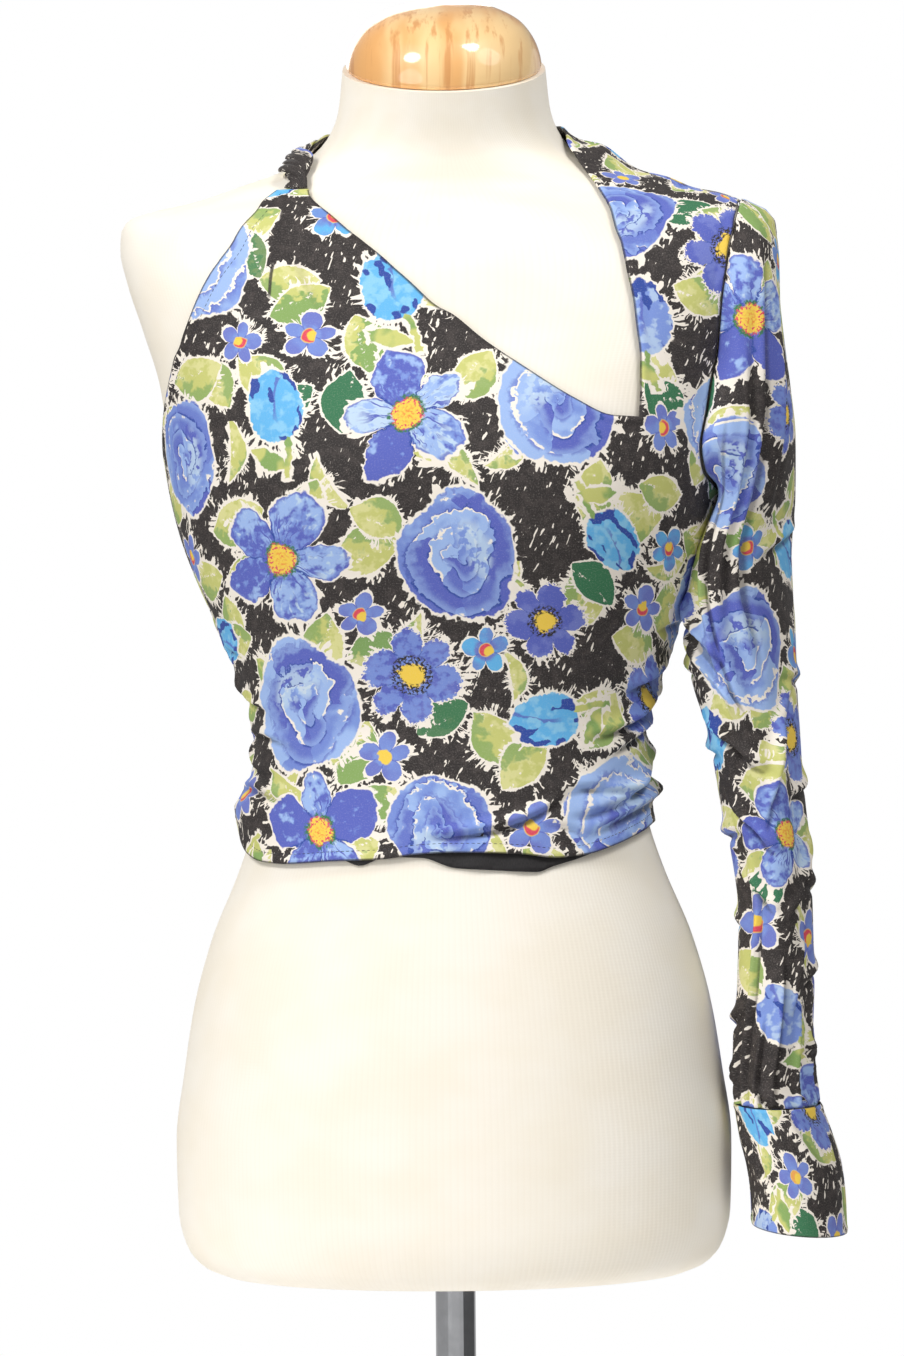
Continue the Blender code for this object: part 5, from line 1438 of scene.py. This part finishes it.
def paint_wide(x, y, hue, brush, fine, mottle):
    """A wide open flower of five watery petals round a yellow eye."""
    outside, radius, angle, lobe = petals(x, y, hue, 5, 0.36, 0.44, 0.7)
    around = angle + cosine(angle * 2.0 + hue * 9.0) * PETAL_UNEVEN
    step = floored(around * (2.5 / math.pi) + hue * (3.0 / math.pi) + 0.5)
    petal = chance(wrapped(step, 5.0), hue)
    outside = outside + (petal - 0.5) * 0.3 + cosine(angle * 11.0 + hue * 20.0) * 0.025
    streak = noise(vector_of(cosine(angle) * 4.0, cosine(angle + QUARTER_TURN) * 4.0,
                             radius * 1.6), 2.0, 2.0, 0.6)
    colour = mixed(ramp(petal + (brush - 0.5) * 0.9, 0.38, 0.52), ROYAL, PERIWINKLE)
    colour = mixed(ramp(petal * 0.7 + mottle * 0.8 + brush * 0.5, 0.94, 1.06), colour, SOFT_BLUE)
    colour = mixed(ramp(petal * 0.8 + streak * 0.5 + brush * 0.5, 0.94, 1.02), colour, WATER_BLUE)
    colour = mixed(ramp(streak, 0.55, 0.6) * ramp(radius, 0.62, 0.4), colour, ROYAL)
    colour = mixed(ramp(lobe, 0.32, 0.16) * ramp(radius, 0.12, 0.22) * ramp(fine, 0.3, 0.5),
                   colour, DEEP_BLUE)
    colour = mixed(ramp(outside, -0.06, -0.02) * ramp(brush, 0.42, 0.5) * 0.8, colour, ROYAL)
    eye = radius + (fine - 0.5) * 0.12
    colour = mixed(ramp(eye, 0.25, 0.21) * ramp(brush, 0.42, 0.5), colour, DEEP_GREEN)
    colour = mixed(ramp(eye, 0.19, 0.16), colour, YELLOW)
    colour = mixed(ramp(abs(eye - 0.17), 0.05, 0.03) * ramp(fine, 0.52, 0.56), colour, ROSE_RED)
    colour = mixed(ramp(eye, 0.15, 0.05) * ramp(fine, 0.47, 0.6), colour, ORANGE)
    return outside, colour


def paint_rose(x, y, hue, brush, fine, mottle):
    """A full rose: broad strokes of the brush round its heart, each a petal of its own tone."""
    x = x + 0.03
    y = y * 1.12
    radius, angle = length_of(x, y), bearing(x, y)
    wavy = cosine(angle * 3.0 + hue * 6.0) * 0.045 + cosine(angle * 5.0) * 0.03
    outside = radius - (wavy + 0.8)
    turn = angle * PER_TURN_ROUND + hue
    wave = (radius ** 0.7 * 4.6 + turn + cosine(angle * 3.0 + hue * 9.0) * 0.2
            + cosine(angle * 2.0 - radius * 7.0) * 0.16 + (brush - 0.5) * 0.9
            + (mottle - 0.5) * 0.8)
    ring = floored(wave)
    part = wave - ring
    sector = floored(wrapped(turn * 3.0 + ring * 0.37 + (mottle - 0.5) * 0.8, 3.0))
    tone = chance(ring + sector * 2.3, hue)
    colour = mixed(ramp(tone, 0.38, 0.5), ROYAL, PERIWINKLE)
    colour = mixed(ramp(tone + (mottle - 0.5) * 0.6, 0.5, 0.6), colour, SOFT_BLUE)
    colour = mixed(ramp(part, 0.45, 0.95) * 0.55, colour, SOFT_BLUE)
    colour = mixed(ramp(part, 0.3, 0.05) * 0.65 * ramp(brush, 0.4, 0.52), colour, ROYAL)
    gap = ramp(part + (fine - 0.5) * 0.12, 0.82, 0.88) * ramp(radius, 0.12, 0.2)
    colour = mixed(gap * ramp(tone + (brush - 0.5) * 0.6, 0.5, 0.55), colour, CREAM)
    lit = ramp(abs(radius - 0.3), 0.24, 0.1) * ramp(cosine(angle + hue * 6.28), 0.1, 0.7)
    colour = mixed(lit * ramp(brush, 0.42, 0.5) * 0.8, colour, WATER_BLUE)
    stroke = ramp(part, 0.14, 0.07) * ramp(tone, 0.5, 0.44) * ramp(brush, 0.4, 0.48)
    return outside, mixed(stroke * 0.9, colour, DEEP_BLUE)


def paint_flat(x, y, hue, brush, fine, mottle):
    """A flat violet flower with jagged petals and a speckled yellow eye."""
    outside, radius, _, lobe = petals(x, y, hue, 6, 0.42, 0.38, 0.5)
    outside = outside + (fine - 0.5) * 0.26 + (brush - 0.5) * 0.12
    colour = mixed(ramp(mottle + (brush - 0.5) * 0.4, 0.45, 0.6), ROYAL, VIOLET)
    colour = mixed(ramp(hue, 0.62, 0.64) * ramp(brush, 0.4, 0.55) * 0.8, colour, PERIWINKLE)
    ray = ramp(lobe, 0.4, 0.16) * ramp(radius, 0.2, 0.34) * ramp(fine, 0.36, 0.5)
    colour = mixed(ray * 0.75, colour, DEEP_BLUE)
    speckle = ramp(fine, 0.48, 0.52) * ramp(abs(radius - 0.26), 0.1, 0.06)
    colour = mixed(ramp(radius + (brush - 0.5) * 0.3, 0.24, 0.2), colour, YELLOW)
    return outside, mixed(speckle, colour, GROUND)


def paint_small(x, y, hue, brush, fine, mottle):
    """A small flower of five petals, violet or sky blue by its hue, with a warm eye."""
    outside, radius, _, lobe = petals(x, y, hue, 5, 0.36, 0.46, 0.75)
    is_sky = ramp(hue, 0.64, 0.66)
    petal = mixed(is_sky, VIOLET, SKY)
    inner = mixed(is_sky, PERIWINKLE, VIOLET)
    colour = mixed(ramp(mottle, 0.4, 0.6) * 0.7, petal, inner)
    colour = mixed(ramp(radius, 0.46, 0.3) * ramp(brush, 0.4, 0.55), colour, inner)
    colour = mixed(ramp(lobe, 0.4, 0.2) * 0.7, colour, ROYAL)
    eye = radius + (brush - 0.5) * 0.24
    colour = mixed(ramp(eye, 0.27, 0.22), colour, YELLOW)
    moon = length_of(x - 0.09, y + 0.05)
    colour = mixed(ramp(eye, 0.24, 0.2) * ramp(moon, 0.15, 0.2) * ramp(hue, 0.12, 0.16), colour,
                   ROSE_RED)
    return outside, colour


def paint_tulip(x, y, hue, brush, fine, mottle):
    """A tulip on its stem: a rounded cup with a few deep strokes of the brush."""
    rise = y - 0.2
    cup = length_of(x * (rise * 0.6 + 1.5), rise * 1.0) - 0.6
    top = (y - (cosine(x * 15.0 + hue * 2.0) * 0.06 + 0.64)) * 0.8
    blossom = most(cup, top)
    bend = cosine(y * 3.0 + hue * 6.0) * 0.1
    stem = most(abs(x + bend) - 0.045, abs(y + 0.64) - 0.34)
    blade_x = (x - 0.24) * 0.8 + (y + 0.62) * 0.6
    blade_y = (y + 0.62) * 0.8 - (x - 0.24) * 0.6
    blade = abs(blade_y) - (0.13 - blade_x * blade_x * 1.1)
    leafy = least(stem, blade)
    strokes = noise(vector_of(x * 3.6 + hue * 9.0, y * 1.2 - x, hue * 4.0), 1.4, 1.0, 0.5)
    is_blue = ramp(hue, 0.7, 0.72)
    petal = mixed(is_blue, SKY, PERIWINKLE)
    pale = mixed(is_blue, SKY_PALE, WATER_BLUE)
    colour = mixed(ramp(mottle + brush, 0.96, 1.14) * 0.7, petal, pale)
    fold = ramp(abs(x - cosine(y * 2.6) * 0.22 + 0.2) + (brush - 0.5) * 0.1, 0.035, 0.012)
    colour = mixed(fold * ramp(y, -0.2, 0.1) * 0.8, colour, ROYAL)
    edge = ramp(blossom, -0.2, -0.06)
    colour = mixed(ramp(strokes + edge * 0.12, 0.66, 0.68), colour, DEEP_BLUE)
    green = mixed(ramp(mottle, 0.45, 0.58), LIME, LEAF_GREEN)
    return least(blossom, leafy), mixed(within(leafy - blossom), colour, green)


def paint_leaf(x, y, hue, brush, fine, mottle):
    """A rounded leaf, lime washed with green, or deep green by its hue."""
    narrow = ramp(hue, 0.3, 0.28)
    bent = y + x * x * (narrow * 0.3 + 0.14)
    outside = abs(bent) - (narrow * -0.34 + 0.6 - x * x * (narrow * -0.36 + 0.68) + x * 0.12)
    colour = mixed(ramp(mottle + brush, 0.92, 1.1), LIME, LIME_PALE)
    wash = y * 0.8 + (brush - 0.5) * 1.3 - x * 0.3
    colour = mixed(ramp(wash, 0.0, 0.22) * 0.85, colour, LEAF_GREEN)
    colour = mixed(ramp(hue, 0.8, 0.82) * ramp(wash, -0.35, -0.2), colour, LEAF_GREEN)
    colour = mixed(ramp(hue, 0.9, 0.92), colour, DEEP_GREEN)
    gleam = ramp(abs(bent + 0.16 + (brush - 0.5) * 0.2), 0.06, 0.03)
    colour = mixed(gleam * ramp(fine, 0.5, 0.56) * ramp(brush, 0.5, 0.56), colour, CREAM)
    return outside, colour


def ground_colour(cloth, brush, fine, mottle):
    """Brownish-black ground with cream scratches of a dry brush."""
    u, v, _ = split(cloth)
    scratch = noise(vector_of(u * 0.5 + v * 0.2, v * 0.12 - u * 0.06), 0.9, 1.0, 0.5)
    patch = ramp(mottle, 0.46, 0.58) * 0.07
    colour = mixed(ramp(brush, 0.45, 0.65), GROUND, GROUND_LIGHT)
    colour = mixed(ramp(scratch + (fine - 0.5) * 0.14 + patch, 0.70, 0.72), colour, CREAM)
    return colour


def make_printed_crepe():
    """Matt crepe with the print: its ground, then each layer of motifs over the last."""
    material, tree, shader = new_material("printed crepe", roughness=0.78)
    cloth = attribute(tree, "cloth")
    brush, fine, mottle = (noise(cloth, *values) for values in (BRUSH, FINE, MOTTLE))
    colour = ground_colour(cloth, brush, fine, mottle)
    paints = {"leaf": paint_leaf, "tulip": paint_tulip, "flat": paint_flat,
              "small": paint_small, "wide": paint_wide, "rose": paint_rose}
    groups = {kind: motif_group(name, paints[kind], reserve)
              for kind, (name, reserve) in RESERVES.items()}
    for layer in PAINT_ORDER:
        values = (colour, attribute(tree, layer), brush, fine, mottle)
        colour = from_node(tree, "ShaderNodeGroup", "Colour", dict(enumerate(values)),
                           node_tree=groups[layer.split("_")[0]])
    _, _, inside = split(cloth)
    colour = mixed(inside * 0.55, colour, GROUND_LIGHT)
    away, crease, _ = split(attribute(tree, "marks"))
    aside, middle_of_tuck, _ = split(attribute(tree, "tuck"))
    # Painted shadow: a dark line along the tuck's fold, fading towards its ends.
    tuck = ramp(abs(aside + 0.4), 0.9, 0.35) * ramp(middle_of_tuck, 0.02, 0.25)
    colour = mixed(ramp(away, 1.1, 0.3) * 0.8, colour, GROUND)
    colour = mixed(tuck * 0.9, colour, GROUND)
    # Painted shade: the troughs of the creases, folds and the strap's grooves are darkened
    # towards the ground colour.
    colour = mixed(ramp(crease, -0.25, -2.0) * 0.5, colour, GROUND)
    grain, yarn = noise(cloth, *GRAIN), noise(cloth, *YARN)
    colour = mixed(ramp(grain * 0.5 + yarn * 0.5, 0.5, 0.7) * 0.12, colour, CREAM)
    dress_shader(tree, shader, {"Base Color": colour,
                                "Normal": bump(grain * 0.6 + yarn * 0.4, 0.22, 0.0006)})
    return material


# ================================================================ other finishes
JERSEY = srgb(250, 241, 224)
JERSEY_LIGHT = srgb(253, 246, 233)
JERSEY_GROOVE_SHADE = srgb(238, 225, 204)
PINE = srgb(252, 212, 150)
PINE_BROAD = srgb(240, 178, 108)
PINE_STREAK = srgb(214, 144, 78)
CHROME = srgb(222, 223, 226)
CHROME_LIGHT = srgb(236, 237, 240)
BLACK = srgb(20, 18, 19)
BLACK_LIGHT = srgb(38, 34, 35)
SEWING = srgb(30, 28, 38)
SEWING_LIGHT = srgb(58, 55, 72)
WHITE = (1.0, 1.0, 1.0, 1.0)
FLOOR_MIDDLE = (0.85, 0.85, 0.85, 1.0)
FLOOR_RIM = (0.0, 0.0, 0.0, 1.0)


def make_jersey():
    """Cream rib jersey stretched over the form."""
    material, tree, shader = new_material("cream rib jersey", roughness=0.9)
    girth, height, _ = split(attribute(tree, "knit"))
    rib = cosine(girth * (2 * math.pi / RIB_PITCH))
    row = cosine(height * (2 * math.pi / KNIT_ROW))
    cloudy = noise(vector_of(girth, height), 0.02, 2.0)
    colour = mixed(ramp(cloudy, 0.3, 0.7), JERSEY, JERSEY_LIGHT)
    # Painted shade: the grooves between the ribs are darker.
    colour = mixed(ramp(rib, -0.2, -0.95) * 0.1, colour, JERSEY_GROOVE_SHADE)
    dress_shader(tree, shader, {"Base Color": colour,
                                "Normal": bump(rib * 0.7 + row * 0.3, 0.08, 0.0004)})
    return material


def make_pine():
    """Lacquered pine with upright grain and a clear gloss."""
    material, tree, shader = new_material("lacquered pine", roughness=0.42)
    x, y, z = split(own_place(tree))
    drift = noise(vector_of(x * 20.0, y * 20.0, z * 4.0), 1.0, 2.0)
    streak = noise(vector_of(x + drift * 0.012, y * 0.35, z * 0.03), 190.0, 3.0, 0.6)
    broad = noise(vector_of(x + drift * 0.02, y * 0.3, z * 0.05), 52.0, 2.0, 0.5)
    colour = mixed(ramp(broad, 0.38, 0.62), PINE, PINE_BROAD)
    colour = mixed(ramp(streak, 0.5, 0.66) * 0.75, colour, PINE_STREAK)
    dress_shader(tree, shader, {"Base Color": colour, "Normal": bump(streak, 0.05, 0.0005),
                                "Coat Weight": 0.9, "Coat Roughness": 0.08})
    return material


def make_chrome():
    """Polished chrome with faint handling marks."""
    material, tree, shader = new_material("polished chrome", roughness=0.12, metallic=1.0)
    marks = noise(own_place(tree), 60.0, 3.0, 0.6)
    dress_shader(tree, shader, {"Base Color": mixed(ramp(marks, 0.3, 0.7), CHROME, CHROME_LIGHT),
                                "Roughness": marks * 0.12 + 0.06})
    return material


def make_black_lining():
    """Thin black lining with a fine upright thread."""
    material, tree, shader = new_material("black lining cloth", roughness=0.6)
    u, v, _ = split(attribute(tree, "cloth"))
    thread = noise(vector_of(u * 2.4, v * 0.5), 1.0, 2.0)
    dress_shader(tree, shader, {"Base Color": mixed(ramp(thread, 0.3, 0.7), BLACK, BLACK_LIGHT),
                                "Normal": bump(thread, 0.2, 0.0004)})
    return material


def make_thread():
    """Dark sewing thread."""
    material, tree, shader = new_material("dark thread", roughness=0.7)
    fuzz = noise(own_place(tree), 2500.0, 1.0)
    dress_shader(tree, shader, {"Base Color": mixed(fuzz, SEWING, SEWING_LIGHT)})
    return material


# ================================================================ stitches
def stitch_tree(material):
    """Geometry Nodes that sew short stitches along the edges of a mesh of lines."""
    tree = bpy.data.node_groups.new("Sewn stitches", "GeometryNodeTree")
    tree.interface.new_socket("Geometry", in_out="INPUT", socket_type="NodeSocketGeometry")
    for label, value in (("Stitch pitch", STITCH_PITCH), ("Stitch length", STITCH_LENGTH),
                         ("Thread radius", THREAD_RADIUS)):
        socket = tree.interface.new_socket(label, in_out="INPUT", socket_type="NodeSocketFloat")
        socket.default_value = value * MM
    tree.interface.new_socket("Geometry", in_out="OUTPUT", socket_type="NodeSocketGeometry")
    start, end = tree.nodes.new("NodeGroupInput"), tree.nodes.new("NodeGroupOutput")
    lines, pitch, length, radius = (Wire(tree, start.outputs[n]) for n in range(4))
    curve = from_node(tree, "GeometryNodeMeshToCurve", "Curve", {"Mesh": lines})
    spaced = from_node(tree, "GeometryNodeResampleCurve", "Curve",
                       {"Curve": curve, "Length": pitch}, mode="LENGTH")
    ball = from_node(tree, "GeometryNodeMeshUVSphere", "Mesh", STITCH_BALL)
    soft = from_node(tree, "GeometryNodeSetShadeSmooth", "Geometry", {"Geometry": ball})
    tangent = from_node(tree, "GeometryNodeInputTangent", "Tangent")
    along = from_node(tree, "FunctionNodeAlignRotationToVector", "Rotation",
                      {"Vector": tangent}, axis="X")
    size = vector_of(length * 0.5, radius, radius)
    copies = from_node(tree, "GeometryNodeInstanceOnPoints", "Instances",
                       {"Points": spaced, "Instance": soft, "Rotation": along, "Scale": size})
    solid = from_node(tree, "GeometryNodeRealizeInstances", "Geometry", {"Geometry": copies})
    sewn = from_node(tree, "GeometryNodeSetMaterial", "Geometry",
                     {"Geometry": solid, "Material": material})
    wire_up(tree, end.inputs["Geometry"], sewn)
    return tree


def inset_line(line, distance):
    """A line of angles and levels moved sideways on the flat cloth, to its left."""
    flat = np.array(line) * (PER_DEGREE, 1.0)
    run = np.gradient(flat, axis=0)
    run /= np.linalg.norm(run, axis=1, keepdims=True)
    moved = flat + np.column_stack([-run[:, 1], run[:, 0]]) * distance
    return moved / (PER_DEGREE, 1.0)


def make_stitches(name, lines, tree, material):
    """Stitches along lines of points, made a plain mesh."""
    points, edges = [], []
    for line in lines:
        first = len(points)
        points += in_scene(line)
        edges += [(first + i, first + i + 1) for i in range(len(line) - 1)]
    mesh = bpy.data.meshes.new(name + "_lines")
    mesh.from_pydata(points, edges, [])
    ob = placed(name, mesh)
    sewing = ob.modifiers.new("Sewing", "NODES")
    sewing.node_group = tree
    sewn = ob.evaluated_get(bpy.context.evaluated_depsgraph_get())
    done = bpy.data.meshes.new_from_object(sewn)
    ob.modifiers.remove(sewing)
    ob.data = done
    done.name = name
    if not done.materials:
        done.materials.append(material)
    return ob


def seam_points(line, distance):
    """Points just above the cloth along a line moved in from a panel's edge."""
    angle, up = inset_line(line, distance).T
    height = body_height(angle, up, np.full(len(angle), abs(distance)))
    return off_form(angle, up, height + THREAD_RADIUS * THREAD_PROUD)


# ================================================================ studio
def seen_or_room(tree, sideways):
    """Full white to the eye; to everything else the room, darker on its right."""
    ahead, left, right = ROOM_LIGHT
    room = (ramp(sideways, 0.5, 0.8) * (right - ahead) + ramp(sideways, -0.5, -0.8)
            * (left - ahead) + ahead)
    return most(camera_ray(tree), room)


def make_studio():
    """A plain pale floor that fades to white, soft lights and the camera."""
    floor_mesh = bpy.data.meshes.new("studio_floor")
    turns = np.arange(FLOOR_SIDES) * 2 * math.pi / FLOOR_SIDES
    points = [(FLOOR_RADIUS * math.cos(t), FLOOR_RADIUS * math.sin(t), 0.0) for t in turns]
    floor_mesh.from_pydata(points, [], [tuple(range(FLOOR_SIDES))])
    floor = placed("studio_floor", floor_mesh)
    material, tree, shader = new_material("studio white", roughness=0.9)
    x, y, _ = split(own_place(tree))
    reach = length_of(x, y)
    fade = ramp(reach, *FLOOR_FADE)
    glow = seen_or_room(tree, x / reach) * fade + (1 - fade) * FLOOR_GLOW
    dress_shader(tree, shader, {"Base Color": mixed(fade, FLOOR_MIDDLE, FLOOR_RIM),
                                "Emission Color": WHITE, "Emission Strength": glow,
                                "Specular IOR Level": 0.0})
    floor_mesh.materials.append(material)
    for name, place, aim, size, power in LIGHTS:
        lamp = bpy.data.lights.new(name, "AREA")
        lamp.shape = "DISK"
        lamp.size = size
        lamp.energy = power
        ob = placed(name, lamp)
        ob.location = place
        ob.rotation_euler = (Vector(aim) - Vector(place)).to_track_quat("-Z", "Y").to_euler()
    world = bpy.data.worlds.new("studio")
    world.use_nodes = True
    bpy.context.scene.world = world
    tree = world.node_tree
    dress_shader(tree, tree.nodes["Background"],
                 {"Color": WHITE, "Strength": most(camera_ray(tree), WORLD_LIGHT)})
    camera_data = bpy.data.cameras.new("camera")
    camera_data.sensor_fit = "VERTICAL"
    camera_data.sensor_height = SENSOR_HEIGHT
    camera_data.lens = SENSOR_HEIGHT * CAMERA_DISTANCE / (PHOTO_HEIGHT * PHOTO_SCALE)
    camera_data.clip_end = CAMERA_SEES
    camera = placed("camera", camera_data)
    camera.location = np.array((CAMERA_X, -CAMERA_DISTANCE, CAMERA_UP + BODY_LIFT)) * MM
    camera.rotation_euler = (math.radians(90), math.radians(CAMERA_ROLL), 0)
    bpy.context.scene.camera = camera
    bpy.context.scene.view_settings.view_transform = "Standard"


# ================================================================ putting it together
def dress():
    """Make every piece, put it under the root body, hide the solid that it replaces, and sew the
    edges.
    """
    crepe = make_printed_crepe()
    black = make_black_lining()
    thread = make_thread()
    front = body_panel("front", front_outline(), 90.0, FRONT_SEED, crepe)
    back = body_panel("back", back_outline(), 270.0, BACK_SEED, crepe)
    sleeve = make_sleeve(crepe)
    cuff = make_cuff(crepe)
    twist = make_twist(crepe)
    lining = make_lining(black)
    body = make_form_body(make_jersey())
    cap = make_cap(make_pine())
    chrome = make_chrome()
    for node in ("stand_base", "stand_pole"):
        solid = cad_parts[node]
        for slot in solid.material_slots:
            slot.material = chrome
    tree = stitch_tree(thread)
    stitches = make_stitches("hem_stitches", [
        seam_points(smooth_line(FRONT_HEM, EDGE_PITCH)[2:-2], HEM_STITCH_IN),
        seam_points(smooth_line(BACK_HEM, EDGE_PITCH)[2:-2], HEM_STITCH_IN),
    ], tree, thread)
    edge_stitches = make_stitches("edge_stitches", [
        seam_points(smooth_line(FRONT_BARE_EDGE, EDGE_PITCH)[2:-2], -HEM_STITCH_IN),
        seam_points(smooth_line(BACK_BARE_EDGE, EDGE_PITCH)[2:-2], HEM_STITCH_IN),
    ], tree, thread)
    for piece in (front, back, sleeve, cuff, twist, lining, body, cap):
        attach(piece, "root")
        node = piece.name.split(".")[0]
        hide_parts(node)
    for piece in (stitches, edge_stitches):
        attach(piece, "root")


dress()
make_studio()
